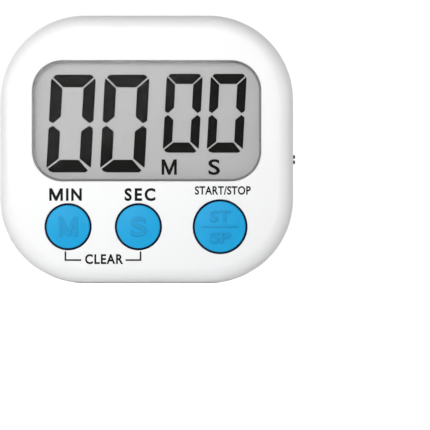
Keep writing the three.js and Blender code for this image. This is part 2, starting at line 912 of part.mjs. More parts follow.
// The insulating block that closes the can, with its three pins.
function switchBase() {
  const inset = switchSkin + fitGap;
  const half = switchLength / 2 - inset;
  const deep = switchThickness / 2 - inset;
  const middle = switchY - switchTravel / 2;
  const back = switchFace - switchReach;
  const slug = block(
    back,
    back + switchBlock,
    middle - half,
    middle + half,
    switchDepth - deep,
    switchDepth + deep,
  );
  const pins = [-pinPitch, 0, pinPitch].map((offset) =>
    block(
      back - pinLength,
      back + seatGap,
      middle + offset - pinWidth / 2,
      middle + offset + pinWidth / 2,
      switchDepth - pinWidth / 2,
      switchDepth + pinWidth / 2,
    ),
  );
  return join(slug, ...pins);
}

// The switch's own slider: a shoe inside the can and the stem that comes out of it.
function switchStem() {
  const half = stemSize / 2;
  const shoeFace = switchFace - switchSkin - seatGap;
  const shoe = block(
    shoeFace - shoeThickness,
    shoeFace,
    switchY - half - shoeMargin,
    switchY + half + shoeMargin,
    switchDepth - half - slideGap,
    switchDepth + half + slideGap,
  );
  const stem = block(
    shoeFace - seatGap,
    switchFace + stemLength,
    switchY - half,
    switchY + half,
    switchDepth - half,
    switchDepth + half,
  );
  return join(shoe, stem);
}

// The knob: a plate behind the side wall, and a grip with two ridges that comes through the slot.
function switchKnob() {
  const plateHalf = knobHalf + switchTravel + slideGap;
  const plate = block(
    innerSide - seatGap - knobPlate,
    innerSide - seatGap,
    switchY - plateHalf,
    switchY + plateHalf,
    switchDepth - knobHalf - knobPlateMargin,
    switchDepth + knobHalf + knobPlateMargin,
  );
  const grip = block(
    innerSide - knobPlate,
    halfWidth + knobProud,
    switchY - knobHalf,
    switchY + knobHalf,
    switchDepth - knobHalf,
    switchDepth + knobHalf,
  );
  const groove = block(
    halfWidth,
    halfWidth + 1,
    switchY - knobGroove / 2,
    switchY + knobGroove / 2,
    switchDepth - 2,
    switchDepth + 2,
  );
  const inner = stemSize / 2 + seatGap / 2;
  const socket = block(
    innerSide - 2,
    switchFace + stemLength + seatGap,
    switchY - inner,
    switchY + inner,
    switchDepth - inner,
    switchDepth + inner,
  );
  return cut(join(plate, grip), groove, socket);
}

// ---------------------------------------------------------------- power

function batteryCell() {
  const back = cellBack;
  const profile = [
    [0, 0],
    [cellRadius - cellEdge, 0],
    [cellRadius, cellEdge],
    [cellRadius, cellLength - cellNubLength - cellEdge],
    [cellRadius - cellEdge, cellLength - cellNubLength],
    [cellNubRadius, cellLength - cellNubLength],
    [cellNubRadius, cellLength],
    [0, cellLength],
  ];
  const points = profile.map(([radius, along]) => new THREE.Vector2(radius, along));
  const geometry = new THREE.LatheGeometry(points, 32);
  return solid(geometry.rotateZ(-Math.PI / 2).translate(back, cellY, -cellDepth));
}

// A contact's plate and the tail that leaves the compartment; side is -1 or 1.
function contactPlate(side) {
  const outer = compartmentHalfLength - seatGap;
  const inner = outer - contactThickness;
  const floor = compartmentDepth + compartmentFloor + fitGap;
  const plate = block(
    Math.min(side * outer, side * inner),
    Math.max(side * outer, side * inner),
    cellY - contactWidth / 2,
    cellY + contactWidth / 2,
    floor,
    floor + 2 * cellRadius - contactClearance,
  );
  const tailEnd = compartmentHalfLength + compartmentWall + contactTail;
  const tail = block(
    Math.min(side * inner, side * tailEnd),
    Math.max(side * inner, side * tailEnd),
    cellY - contactTailWidth / 2,
    cellY + contactTailWidth / 2,
    floor,
    floor + contactThickness,
  );
  return join(plate, tail);
}

// The negative contact: its plate carries a spring that narrows towards the cell.
function springContact() {
  const turns = 3;
  const perTurn = 12;
  const start = -compartmentHalfLength + seatGap + contactThickness - springWire / 2;
  const length = springLength - springWire / 2;
  const points = [];
  for (let n = 0; n <= turns * perTurn; n += 1) {
    const share = n / (turns * perTurn);
    const angle = share * turns * 2 * Math.PI;
    const radius = springRadius * (1 - springTaper * share);
    points.push([
      start + length * share,
      cellY + radius * Math.cos(angle),
      cellDepth + radius * Math.sin(angle),
    ]);
  }
  return join(contactPlate(-1), wire(points, springWire, 42, 3));
}

function flatContact() {
  const inner = compartmentHalfLength - seatGap - contactThickness;
  const dimple = bar(dimpleRadius, inner - seatGap, inner + contactThickness / 2, cellY, cellDepth);
  return join(contactPlate(1), dimple);
}

// An insulated lead from a contact's tail to its pad on the back of the board.
function batteryLead(side) {
  const tail = compartmentHalfLength + compartmentWall + contactTail - leadRadius;
  const depth = compartmentDepth + compartmentFloor + fitGap + contactThickness;
  return wire(
    [
      [side * tail, cellY - 0.4, depth + 0.75],
      [side * (tail + 0.3), cellY - 3.5, depth + 1.1],
      [side * (tail + 0.2), boardTop + 1, boardBack + 1.3],
      [side * (tail - 0.9), boardTop - 1.6, boardBack + 0.8],
    ],
    leadRadius,
    12,
    3,
  );
}

function batteryDoor() {
  const plate = block(
    -doorHalfLength,
    doorHalfLength,
    cellY - doorHalfHeight,
    cellY + doorHalfHeight,
    doorDepth,
    bodyDepth,
  );
  const tabBack = rearWallFace - fitGap;
  const tabFront = tabBack - doorTabThickness;
  const riserTop = cellY + compartmentHalfHeight - fitGap;
  const tongueTop = cellY + doorHalfHeight + fitGap + doorTabLength;
  const tabs = [-doorTabSpread, doorTabSpread].map((middle) => {
    const [x0, x1] = [middle - doorTabWidth / 2, middle + doorTabWidth / 2];
    const riser = block(x0, x1, riserTop - doorRiser, riserTop, tabFront, doorDepth + seatGap);
    return join(riser, block(x0, x1, riserTop - doorRiser, tongueTop, tabFront, tabBack));
  });
  const thumbRidges = [0, 1, 2].map((n) => {
    const low = cellY - doorHalfHeight + (n + 1.5) * thumbRidgePitch;
    const half = thumbRidgeLength / 2;
    const near = bodyDepth - thumbRidgeDepth;
    return block(-half, half, low, low + thumbRidge, near, bodyDepth + 1);
  });
  return cut(join(plate, ...tabs), ...thumbRidges);
}

// ---------------------------------------------------------------- stand, magnets and sounder

function stand() {
  const half = standWidth / 2;
  const tip = hingeY - standLength;
  const back = bodyDepth - seatGap;
  const front = back - standThickness;
  const length = standLength + standCorner;
  const shape = roundedRectangle(standWidth, length, standCorner, 0, tip + length / 2);
  const leaf = cut(
    slab(shape, front, back, 5),
    block(-half - 1, half + 1, hingeY, hingeY + standCorner + 1, front - 1, back + 1),
  );
  const barrel = bar(standBarrel, -half, half, hingeY, hingeDepth, 16);
  const reach = half + slideGap + standPinLength;
  const pins = bar(standPin, -reach, reach, hingeY, hingeDepth);
  const heel = block(
    -standHeelWidth / 2,
    standHeelWidth / 2,
    hingeY,
    hingeY + standHeel,
    hingeDepth - standHeelThickness / 2,
    hingeDepth + standHeelThickness / 2,
  );
  const slots = [-1, 0, 1].map((n) =>
    slab(
      roundedRectangle(
        soundSlotLength,
        soundSlotWidth,
        soundSlotWidth / 2,
        0,
        sounderY + n * soundSlotPitch,
      ),
      front - 1,
      back + 1,
      3,
    ),
  );
  return cut(join(leaf, barrel, pins, heel), ...slots);
}

function magnet(side) {
  return turned(
    [
      [0, bodyDepth - magnetThickness],
      [magnetRadius - magnetBevel, bodyDepth - magnetThickness],
      [magnetRadius, bodyDepth - magnetThickness + magnetBevel],
      [magnetRadius, bodyDepth - magnetBevel],
      [magnetRadius - magnetBevel, bodyDepth],
      [0, bodyDepth],
    ],
    side * magnetX,
    magnetY,
  );
}

const sounderDisc = () => rod(discRadius, 0, sounderY, discDepth, discDepth + discThickness);

const sounderCeramic = () =>
  rod(ceramicRadius, 0, sounderY, ceramicDepth, discDepth - seatGap, 32);

// A lead from the sounder's disc or its ceramic to the board.
function sounderLead(side) {
  const onDisc = side < 0 ? discRadius - 1.8 : ceramicRadius - 3;
  const start = side < 0 ? discDepth : ceramicDepth;
  return wire(
    [
      [side * onDisc, sounderY - 2, start - 0.5],
      [side * (onDisc - 1.5), sounderY - 4.5, start - 1.2],
      [side * 6, sounderY - 7, boardBack + 1.6],
      [side * 4.5, sounderY - 8, boardBack + 0.7],
    ],
    0.35,
    10,
    3,
  );
}

// ---------------------------------------------------------------- fasteners

// A cross-head screw whose head rests at a depth and whose point lies towards the front.
function screw(x, y, seat, radius, headRadius, length) {
  const headHeight = headRadius * 0.65;
  const body = turned(
    [
      [0, seat - length],
      [radius * 0.4, seat - length],
      [radius, seat - length + radius],
      [radius, seat + seatGap],
      [headRadius, seat + seatGap],
      [headRadius, seat + seatGap + headHeight * 0.55],
      [headRadius * 0.72, seat + seatGap + headHeight],
      [0, seat + seatGap + headHeight],
    ],
    x,
    y,
    smallFacets,
  );
  const far = seat + seatGap + headHeight;
  const [long, thin] = [headRadius * 0.6, headRadius * 0.14];
  const deep = far - headHeight * 0.6;
  return cut(
    body,
    block(x - long, x + long, y - thin, y + thin, deep, far + 1),
    block(x - thin, x + thin, y - long, y + long, deep, far + 1),
  );
}

// ---------------------------------------------------------------- the assembly

addPiece('front_shell', frontShell(), whiteShell);
addPiece('rear_shell', rearShell(), whiteShell);
addPiece('display_lens', displayLens(), clearLens);
addPiece(
  'lcd_front_polariser',
  displayLayer(rearGlassBottom, 0.3, frontFilmDepth, filmThickness),
  displayFilm,
);
addPiece('lcd_front_glass', displayLayer(glassBottom, 0, frontGlassDepth, glassThickness), displayGlass);
addPiece('lcd_rear_glass', displayLayer(rearGlassBottom, 0, rearGlassDepth, glassThickness), displayGlass);
addPiece('lcd_reflector', displayLayer(rearGlassBottom, 0.3, reflectorDepth, filmThickness), displayFilm);
addPiece('zebra_strip', zebraStrip(), zebraRubber);
addPiece('key_mat', keyMat(), silicone);
for (const key of keys) {
  addPiece(`${key.name}_key`, keyCap(key), blueKey);
  addPiece(`${key.name}_dome_crown`, domeCrown(key), silicone);
  addPiece(`${key.name}_contact_pill`, contactPill(key), carbon);
}
addPiece('main_board', mainBoard(), boardGreen);
addPiece('chip_blob', chipBlob(), epoxy);
addPiece('crystal_can', crystalCan(), nickel);
addPiece('capacitor', capacitor(), blackPlastic);
addPiece('choke_coil', chokeCoil(), blackPlastic);
addPiece('switch_can', switchCan(), steel);
addPiece('switch_base', switchBase(), blackPlastic);
addPiece('switch_stem', switchStem(), blackPlastic);
addPiece('switch_knob', switchKnob(), blackPlastic);
addPiece('battery_cell', batteryCell(), cellWrap);
addPiece('battery_spring_contact', springContact(), steel);
addPiece('battery_flat_contact', flatContact(), steel);
addPiece('battery_lead_black', batteryLead(-1), blackSleeve);
addPiece('battery_lead_red', batteryLead(1), redSleeve);
addPiece('battery_door', batteryDoor(), whiteShell);
addPiece('stand', stand(), whiteShell);
addPiece('magnet_left', magnet(-1), nickel);
addPiece('magnet_right', magnet(1), nickel);
addPiece('sounder_disc', sounderDisc(), brass);
addPiece('sounder_ceramic', sounderCeramic(), ceramic);
addPiece('sounder_lead_black', sounderLead(-1), blackSleeve);
addPiece('sounder_lead_red', sounderLead(1), redSleeve);
casePosts.forEach(([x, y], n) => {
  const made = screw(x, y, caseHeadDepth, caseScrewRadius, caseScrewHead, caseScrewLength);
  addPiece(`case_screw_${n + 1}`, made, steel);
});
boardPosts.forEach(([x, y], n) => {
  const made = screw(x, y, boardBack, boardScrewRadius, boardScrewHead, boardScrewLength);
  addPiece(`board_screw_${n + 1}`, made, steel);
});

// The face turns to look along -Y, and the body stands on its base at Z = 0, its depth centred.
timer.rotation.x = Math.PI / 2;
timer.position.set(0, -(bodyDepth - keyProud) / 2, halfHeight);

export default timer;
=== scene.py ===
"""Kitchen timer: the finished look of every piece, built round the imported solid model."""

import math

import bmesh
import bpy
from bpy.props import FloatProperty, FloatVectorProperty
from bpy.types import Operator, Panel, PropertyGroup
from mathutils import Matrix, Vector


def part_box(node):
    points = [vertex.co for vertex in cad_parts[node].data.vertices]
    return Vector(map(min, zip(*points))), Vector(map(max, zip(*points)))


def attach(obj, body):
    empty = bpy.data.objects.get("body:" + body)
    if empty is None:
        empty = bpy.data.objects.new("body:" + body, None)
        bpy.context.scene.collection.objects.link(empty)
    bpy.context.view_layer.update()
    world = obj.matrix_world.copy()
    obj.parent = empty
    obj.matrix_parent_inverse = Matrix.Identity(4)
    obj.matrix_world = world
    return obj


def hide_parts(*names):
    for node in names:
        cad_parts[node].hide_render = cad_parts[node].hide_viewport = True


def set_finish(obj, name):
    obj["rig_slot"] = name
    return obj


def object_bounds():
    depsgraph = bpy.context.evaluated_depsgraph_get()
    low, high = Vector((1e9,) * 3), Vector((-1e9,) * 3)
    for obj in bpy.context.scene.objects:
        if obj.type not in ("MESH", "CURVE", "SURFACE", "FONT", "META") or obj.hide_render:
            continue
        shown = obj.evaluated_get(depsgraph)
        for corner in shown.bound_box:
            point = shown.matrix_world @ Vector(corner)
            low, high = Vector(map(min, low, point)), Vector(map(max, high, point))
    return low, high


bl_info = {
    "name": "Kitchen Timer",
    "version": (1, 0, 0),
    "blender": (4, 5, 0),
    "location": "3D View > Sidebar > Timer",
    "description": "Builds a digital kitchen timer with a fold-out stand",
    "category": "Add Mesh",
}

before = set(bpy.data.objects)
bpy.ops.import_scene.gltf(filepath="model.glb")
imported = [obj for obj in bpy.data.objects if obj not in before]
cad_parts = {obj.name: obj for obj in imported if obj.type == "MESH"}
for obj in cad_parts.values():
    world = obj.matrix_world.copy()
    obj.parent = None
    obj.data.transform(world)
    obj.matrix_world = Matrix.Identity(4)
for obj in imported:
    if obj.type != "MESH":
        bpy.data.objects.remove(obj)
CAD_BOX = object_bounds()
MM = 0.001
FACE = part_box("front_shell")[0].y
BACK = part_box("rear_shell")[1].y
FRONT_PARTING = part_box("front_shell")[1].y
REAR_PARTING = FRONT_PARTING + 0.2 * MM  # the seam between the shells
MIDDLE = (CAD_BOX[0].z + CAD_BOX[1].z) / 2
HALF_WIDTH = -CAD_BOX[0].x
HALF_HEIGHT = (CAD_BOX[1].z - CAD_BOX[0].z) / 2
BODY = "timer_body"
KEYS = ("minute_key", "second_key", "start_stop_key")
KEY_COLLAR = 1.0 * MM  # width of the collar that keeps a key in
MARK_ROOT = 0.12 * MM  # how far a raised mark goes into its key
MAGNETS = ("magnet_left", "magnet_right")
CASE_SCREWS = tuple(f"case_screw_{n}" for n in range(1, 5))
WINDOW = (29.7 * MM, 15.65 * MM, 7.8 * MM)  # half width, half height and corner
WINDOW_MIDDLE = 42.15 * MM
PROUD = 0.02 * MM  # how far a fine surface lies over the CAD surface that it covers


# ------------------------------------------------------------ sizes and colours


def length(label, text, millimetres):
    return FloatProperty(
        name=label, description=text, default=millimetres * MM, unit="LENGTH", precision=5
    )


def colour(label, text, value):
    return FloatVectorProperty(
        name=label, description=text, default=value, size=3, subtype="COLOR", min=0, max=1
    )


class BodySizes(PropertyGroup):
    corner: length("Corner", "Radius of the outline's corners", 22)
    front_round: length("Front edge", "Radius of the edge round the face", 4.2)
    back_round: length("Back edge", "Radius of the edge round the back", 2.5)
    skin: length("Skin", "How deep the finished outer skin goes into the wall", 1.0)
    lip: length("Lip", "Radius of the edge of the window and the key holes", 0.35)
    back_lip: length("Back lip", "Radius of the edges of the pockets in the back", 0.3)
    white: colour("Shell", "Colour of the moulded shells", (0.88, 0.88, 0.878))
    gloss: FloatProperty(
        name="Roughness", description="Roughness of the shells", default=0.38, min=0, max=1
    )


class KeySizes(PropertyGroup):
    rise: length("Rise", "Height of a key's middle over the face", 0.8)
    dish: length("Dish", "Fall from the middle to the start of the edge", 0.4)
    edge: length("Edge", "Width of the rounded edge", 0.5)
    shoulder: length("Shoulder", "Height of a key's side over the face", 0.15)
    ease: length("Ease", "How much smaller a key's top is than its guide, on the radius", 0.22)
    mark: length("Mark", "Height of the raised marks", 0.28)
    blue: colour("Keys", "Colour of the keys", (0.008, 0.37, 0.72))


class DisplayLook(PropertyGroup):
    slant: FloatProperty(
        name="Slant", description="Lean of the digits", default=math.radians(3.1), unit="ROTATION"
    )
    large: length("Large digits", "Height of the minutes' digits", 25.4)
    small: length("Small digits", "Height of the seconds' digits", 20.5)
    field: colour("Field", "Colour of the display's field", (0.5, 0.5, 0.497))
    ink: colour("Ink", "Colour of the dark segments", (0.005, 0.0053, 0.0043))


class StageLook(PropertyGroup):
    distance: length("Distance", "From the object to the camera", 3000)
    view_width: length("View", "Width of the view at the object", 111.9)
    key_power: FloatProperty(name="Main light", description="Power", default=0.6, unit="POWER")
    fill_power: FloatProperty(name="Fill light", description="Power", default=0.32, unit="POWER")
    back_power: FloatProperty(name="Back light", description="Power", default=1.3, unit="POWER")
    sky: FloatProperty(name="Sky", description="Brightness of the surroundings", default=0.45)
    floor: colour("Floor", "Colour of the floor", (0.92, 0.92, 0.92))


# ------------------------------------------------------------ making meshes


def link(obj):
    bpy.context.scene.collection.objects.link(obj)
    return obj


def rounded_outline(half_width, half_height, corner, steps, x, z):
    """Points of a rectangle with round corners, anticlockwise as seen from the front."""
    points = []
    for quarter, (side_x, side_z) in enumerate(((1, 1), (-1, 1), (-1, -1), (1, -1))):
        for step in range(steps + 1):
            turn = (quarter + step / steps) * math.pi / 2
            points.append(
                (
                    x + side_x * (half_width - corner) + corner * math.cos(turn),
                    z + side_z * (half_height - corner) + corner * math.sin(turn),
                )
            )
    return points


def circle(radius, x, z, steps):
    turns = [2 * math.pi * n / steps for n in range(steps)]
    return [(x + radius * math.cos(t), z + radius * math.sin(t)) for t in turns]


def mesh_through(name, rings, ends=True):
    """A closed mesh through rings of points. A ring of one point is a tip, and ends=False joins
    the last ring to the first."""
    bm = bmesh.new()
    loops = [[bm.verts.new(point) for point in ring] for ring in rings]
    pairs = list(zip(loops, loops[1:]))
    if not ends:
        pairs.append((loops[-1], loops[0]))
    for near, far in pairs:
        count = max(len(near), len(far))
        for n in range(count):
            m = (n + 1) % count
            corners = [near[n % len(near)], near[m % len(near)]]
            corners += [far[m % len(far)], far[n % len(far)]]
            distinct = list(dict.fromkeys(corners))
            if len(distinct) > 2:
                bm.faces.new(distinct)
    if ends:
        for loop in (loops[0], loops[-1]):
            if len(loop) > 2:
                bm.faces.new(loop)
    bmesh.ops.recalc_face_normals(bm, faces=bm.faces)
    mesh = bpy.data.meshes.new(name)
    bm.to_mesh(mesh)
    bm.free()
    return link(bpy.data.objects.new(name, mesh))


def at_depth(outline, y):
    return [(x, y, z) for x, z in outline]


def turned(name, profile, x, z, steps):
    """A turned piece: its profile is a list of (radius, y)."""
    rings = [[(x, y, z)] if r == 0 else at_depth(circle(r, x, z, steps), y) for r, y in profile]
    return mesh_through(name, rings)


def slab(name, outline, near, far):
    return mesh_through(name, [at_depth(outline, near), at_depth(outline, far)])


def clean_copy(name, node):
    """A new object with a CAD node's mesh, its split corners joined."""
    merge = 2e-6
    bm = bmesh.new()
    bm.from_mesh(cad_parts[node].data)
    bmesh.ops.remove_doubles(bm, verts=bm.verts, dist=merge)
    bm.verts.index_update()
    points = [v.co.copy() for v in bm.verts]
    faces = [[v.index for v in f.verts] for f in bm.faces]
    bm.free()
    mesh = bpy.data.meshes.new(name)
    mesh.from_pydata(points, [], faces)
    return link(bpy.data.objects.new(name, mesh))


def settle(obj):
    """Applies an object's modifiers."""
    graph = bpy.context.evaluated_depsgraph_get()
    mesh = bpy.data.meshes.new_from_object(obj.evaluated_get(graph))
    obj.modifiers.clear()
    obj.data = mesh
    return obj


def carve(obj, tool, operation="DIFFERENCE"):
    change = obj.modifiers.new("carve", "BOOLEAN")
    change.operation, change.solver, change.object = operation, "EXACT", tool
    settle(obj)
    bpy.data.objects.remove(tool)
    return obj


def flatten_faces(obj, degrees=0.6):
    """Joins the triangles of each flat face."""
    bm = bmesh.new()
    bm.from_mesh(obj.data)
    bmesh.ops.remove_doubles(bm, verts=bm.verts, dist=1e-6)
    bmesh.ops.dissolve_limit(
        bm, angle_limit=math.radians(degrees), verts=bm.verts, edges=bm.edges
    )
    bm.to_mesh(obj.data)
    bm.free()
    return obj


def soften(obj, width, segments=3):
    """Rounds the sharp edges."""
    limit = 35
    change = obj.modifiers.new("soften", "BEVEL")
    change.width, change.segments = width, segments
    change.limit_method, change.angle_limit = "ANGLE", math.radians(limit)
    change.use_clamp_overlap = True
    return settle(obj)


def smooth(obj, degrees):
    """Smooth shading, with edges sharper than an angle kept crisp."""
    mesh = obj.data
    mesh.polygons.foreach_set("use_smooth", [True] * len(mesh.polygons))
    mesh.set_sharp_from_angle(angle=math.radians(degrees))
    weigh = obj.modifiers.new("weigh", "WEIGHTED_NORMAL")
    weigh.keep_sharp, weigh.weight = True, 60
    settle(obj)
    return obj


def join_pieces(name, objects):
    """One object out of several."""
    bm = bmesh.new()
    for obj in objects:
        bm.from_mesh(obj.data)
        bpy.data.objects.remove(obj)
    mesh = bpy.data.meshes.new(name)
    bm.to_mesh(mesh)
    bm.free()
    return link(bpy.data.objects.new(name, mesh))


def round_place(node):
    """The middle of a round CAD node, across and up, and its radius."""
    low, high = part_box(node)
    return (low.x + high.x) / 2, (low.z + high.z) / 2, (high.x - low.x) / 2


def finish_piece(obj, material, body, slot, *nodes):
    """Gives a new piece its material, its body, its slot and the CAD nodes that it stands for."""
    obj.data.materials.clear()
    obj.data.materials.append(material)
    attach(obj, body)
    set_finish(obj, slot)
    if nodes:
        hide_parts(*nodes)
    return obj


# ------------------------------------------------------------ lettering


def letters(name, words, left, right, low, high, near, far, weight=0.0, bevel=0.0, spread=1.0):
    """Upright lettering that fills a box across and up, from a near depth to a far one."""
    text = bpy.data.curves.new(name, "FONT")
    text.body, text.size, text.resolution_u = words, 1.0, 5
    text.offset, text.extrude, text.bevel_depth = weight, 0.05, bevel
    text.space_character = spread
    text.bevel_resolution = 2
    carrier = link(bpy.data.objects.new(name + "_text", text))
    graph = bpy.context.evaluated_depsgraph_get()
    mesh = bpy.data.meshes.new_from_object(carrier.evaluated_get(graph))
    bpy.data.objects.remove(carrier)
    mesh.name = name
    xs, ys, zs = ([v.co[n] for v in mesh.vertices] for n in range(3))
    for v in mesh.vertices:
        across = (v.co.x - min(xs)) / (max(xs) - min(xs))
        up = (v.co.y - min(ys)) / (max(ys) - min(ys))
        deep = (max(zs) - v.co.z) / (max(zs) - min(zs))
        v.co = (left + across * (right - left), near + deep * (far - near), low + up * (high - low))
    bm = bmesh.new()
    bm.from_mesh(mesh)
    bmesh.ops.remove_doubles(bm, verts=bm.verts, dist=1e-7)
    bm.to_mesh(mesh)
    bm.free()
    return link(bpy.data.objects.new(name, mesh))


def letter_m(name, left, right, low, high, near, far, stroke):
    """An M drawn with strokes of one width, its middle strokes meeting on the base line."""
    w, h, s = right - left, high - low, stroke
    meet, slope = w / 2, s * 1.18
    half = [(0, 0), (0, h), (slope, h), (meet, slope * 1.5)]
    other = [(w - px, pz) for px, pz in reversed(half[:3])]
    inner = [(w - s, 0), (w - s, h - s * 2.2), (meet + s * 0.42, 0), (meet - s * 0.42, 0)]
    inner += [(s, h - s * 2.2), (s, 0)]
    points = [(left + px, low + pz) for px, pz in half + other + inner]
    return slab(name, points, near, far)


# ------------------------------------------------------------ shared shader groups


def new_group(name, inputs, outputs):
    group = bpy.data.node_groups.new(name, "ShaderNodeTree")
    for label, kind, value in inputs:
        socket = group.interface.new_socket(name=label, in_out="INPUT", socket_type=kind)
        socket.default_value = value
    for label, kind in outputs:
        group.interface.new_socket(name=label, in_out="OUTPUT", socket_type=kind)
    return group, group.nodes.new("NodeGroupInput"), group.nodes.new("NodeGroupOutput")


def add(tree, kind, values=(), **settings):
    """A node with its settings and the values of its inputs; a socket as a value is linked."""
    node = tree.nodes.new(kind)
    for key, value in settings.items():
        setattr(node, key, value)
    for key, value in dict(values).items():
        if isinstance(value, bpy.types.NodeSocket):
            tree.links.new(value, node.inputs[key])
        else:
            node.inputs[key].default_value = value
    return node


def maths(tree, operation, first, second, third=0.0):
    values = {0: first, 1: second, 2: third}
    return add(tree, "ShaderNodeMath", values, operation=operation).outputs[0]


def blend_colours(tree, share, first, second):
    values = {0: share, 6: first, 7: second}
    return add(tree, "ShaderNodeMix", values, data_type="RGBA").outputs[2]


def noise(tree, vector, scale, detail=2.0):
    values = {"Vector": vector, "Scale": scale, "Detail": detail}
    return add(tree, "ShaderNodeTexNoise", values).outputs[0]


FLOAT, COLOUR = "NodeSocketFloat", "NodeSocketColor"
RESULTS = (("Colour", COLOUR), ("Roughness", FLOAT), ("Normal", "NodeSocketVector"))


def hand_out(group, made, tone, rough, height, depth, strength):
    """Links a group's results: its colour, its roughness and the normal of its relief."""
    relief = {"Strength": strength, "Distance": depth, "Height": height}
    bump = add(group, "ShaderNodeBump", relief)
    group.links.new(tone, made.inputs["Colour"])
    group.links.new(rough, made.inputs["Roughness"])
    group.links.new(bump.outputs[0], made.inputs["Normal"])
    return group


def moulded_group():
    """Moulded plastic: a slow drift of colour, a fine grain and the faint marks of handling."""
    group, given, made = new_group(
        "moulded_plastic",
        (
            ("Colour", COLOUR, (0.8, 0.8, 0.8, 1)),
            ("Second colour", COLOUR, (0.7, 0.7, 0.7, 1)),
            ("Grain size", FLOAT, 0.0004),
            ("Grain depth", FLOAT, 0.000004),
            ("Roughness", FLOAT, 0.3),
            ("Handling", FLOAT, 0.1),
        ),
        RESULTS,
    )
    place = add(group, "ShaderNodeTexCoord").outputs["Object"]
    drift = noise(group, place, 70.0, 3.0)
    wipes = noise(group, place, 420.0, 4.0)
    fine = maths(group, "DIVIDE", 1.0, given.outputs["Grain size"])
    grain = noise(group, place, fine, 1.0)
    tone = blend_colours(group, drift, given.outputs["Colour"], given.outputs["Second colour"])
    centred = maths(group, "SUBTRACT", wipes, 0.5)
    marks = maths(group, "MULTIPLY", centred, given.outputs["Handling"])
    rough = maths(group, "ADD", given.outputs["Roughness"], marks)
    return hand_out(group, made, tone, rough, grain, given.outputs["Grain depth"], 0.7)


def drawn_metal_group():
    """Drawn or stamped metal: fine lines along one way and duller patches."""
    group, given, made = new_group(
        "drawn_metal",
        (
            ("Colour", COLOUR, (0.7, 0.7, 0.7, 1)),
            ("Dull colour", COLOUR, (0.5, 0.5, 0.5, 1)),
            ("Line depth", FLOAT, 0.000003),
            ("Roughness", FLOAT, 0.3),
        ),
        RESULTS,
    )
    place = add(group, "ShaderNodeTexCoord").outputs["Object"]
    stretch = add(group, "ShaderNodeMapping", {"Vector": place, "Scale": (180, 2600, 2600)})
    lines = noise(group, stretch.outputs[0], 1.0, 3.0)
    patches = noise(group, place, 520.0, 3.0)
    tone = blend_colours(group, patches, given.outputs["Colour"], given.outputs["Dull colour"])
    least = maths(group, "SUBTRACT", given.outputs["Roughness"], 0.12)
    rough = maths(group, "MULTIPLY_ADD", patches, 0.25, least)
    return hand_out(group, made, tone, rough, lines, given.outputs["Line depth"], 0.6)


def speckle_group():
    """Small specks of another colour, as in ferrite, film and rubber."""
    group, given, made = new_group(
        "specks",
        (
            ("Colour", COLOUR, (0.5, 0.5, 0.5, 1)),
            ("Speck colour", COLOUR, (0.4, 0.4, 0.4, 1)),
            ("Speck size", FLOAT, 0.0002),
            ("Amount", FLOAT, 0.5),
            ("Depth", FLOAT, 0.000003),
            ("Roughness", FLOAT, 0.5),
        ),
        RESULTS,
    )
    place = add(group, "ShaderNodeTexCoord").outputs["Object"]
    fine = maths(group, "DIVIDE", 1.0, given.outputs["Speck size"])
    specks = noise(group, place, fine, 2.0)
    cloud = noise(group, place, 160.0, 2.0)
    amount = maths(group, "MULTIPLY", specks, given.outputs["Amount"])
    share = maths(group, "MULTIPLY", amount, cloud)
    tone = blend_colours(group, share, given.outputs["Colour"], given.outputs["Speck colour"])
    least = maths(group, "SUBTRACT", given.outputs["Roughness"], 0.07)
    rough = maths(group, "MULTIPLY_ADD", specks, 0.15, least)
    return hand_out(group, made, tone, rough, specks, given.outputs["Depth"], 0.6)


# ------------------------------------------------------------ materials


def shared(name, maker):
    return bpy.data.node_groups.get(name) or maker()


def rgba(value):
    return (*value, 1.0)


def new_material(name, **sockets):
    material = bpy.data.materials.new(name)
    material.use_nodes = True
    shader = material.node_tree.nodes["Principled BSDF"]
    for key, value in sockets.items():
        shader.inputs[key.replace("_", " ")].default_value = value
    return material, material.node_tree, shader


def use_group(tree, shader, group, values, colour_too=True):
    """Places a shared group and feeds the shader from it."""
    node = add(tree, "ShaderNodeGroup", node_tree=group)
    for key, value in values.items():
        node.inputs[key].default_value = value
    if colour_too:
        tree.links.new(node.outputs["Colour"], shader.inputs["Base Color"])
    tree.links.new(node.outputs["Roughness"], shader.inputs["Roughness"])
    tree.links.new(node.outputs["Normal"], shader.inputs["Normal"])
    return node


def plastic(name, first, second, rough, grain=0.4, depth=4, handling=0.1, gap_shade=None, **sockets):
    """Moulded plastic, its grain in millimetres and the depth of it in thousandths of one.
    A shade colour, if given, is painted shade over what lies behind the face, standing in for the
    shade in a narrow gap."""
    if name in bpy.data.materials:
        return bpy.data.materials[name]
    material, tree, shader = new_material(name, **sockets)
    values = {
        "Colour": rgba(first),
        "Second colour": rgba(second),
        "Grain size": grain * MM,
        "Grain depth": depth * 1e-6,
        "Roughness": rough,
        "Handling": handling,
    }
    node = use_group(tree, shader, shared("moulded_plastic", moulded_group), values)
    # Painted shade: behind the face the colour fades to the shade colour, standing in for the shade
    # in a narrow gap.
    if gap_shade:
        place = add(tree, "ShaderNodeTexCoord").outputs["Object"]
        depth_in = add(tree, "ShaderNodeSeparateXYZ", {"Vector": place}).outputs["Y"]
        span = {"Value": depth_in, "From Min": FACE + 0.02 * MM, "From Max": FACE + 0.5 * MM}
        share = add(tree, "ShaderNodeMapRange", span).outputs[0]
        tone = blend_colours(tree, share, node.outputs["Colour"], rgba(gap_shade))
        tree.links.new(tone, shader.inputs["Base Color"])
    return material


def metal(name, first, dull, rough):
    if name in bpy.data.materials:
        return bpy.data.materials[name]
    material, tree, shader = new_material(name, Metallic=1.0)
    values = {
        "Colour": rgba(first),
        "Dull colour": rgba(dull),
        "Line depth": 3e-6,
        "Roughness": rough,
    }
    use_group(tree, shader, shared("drawn_metal", drawn_metal_group), values)
    return material


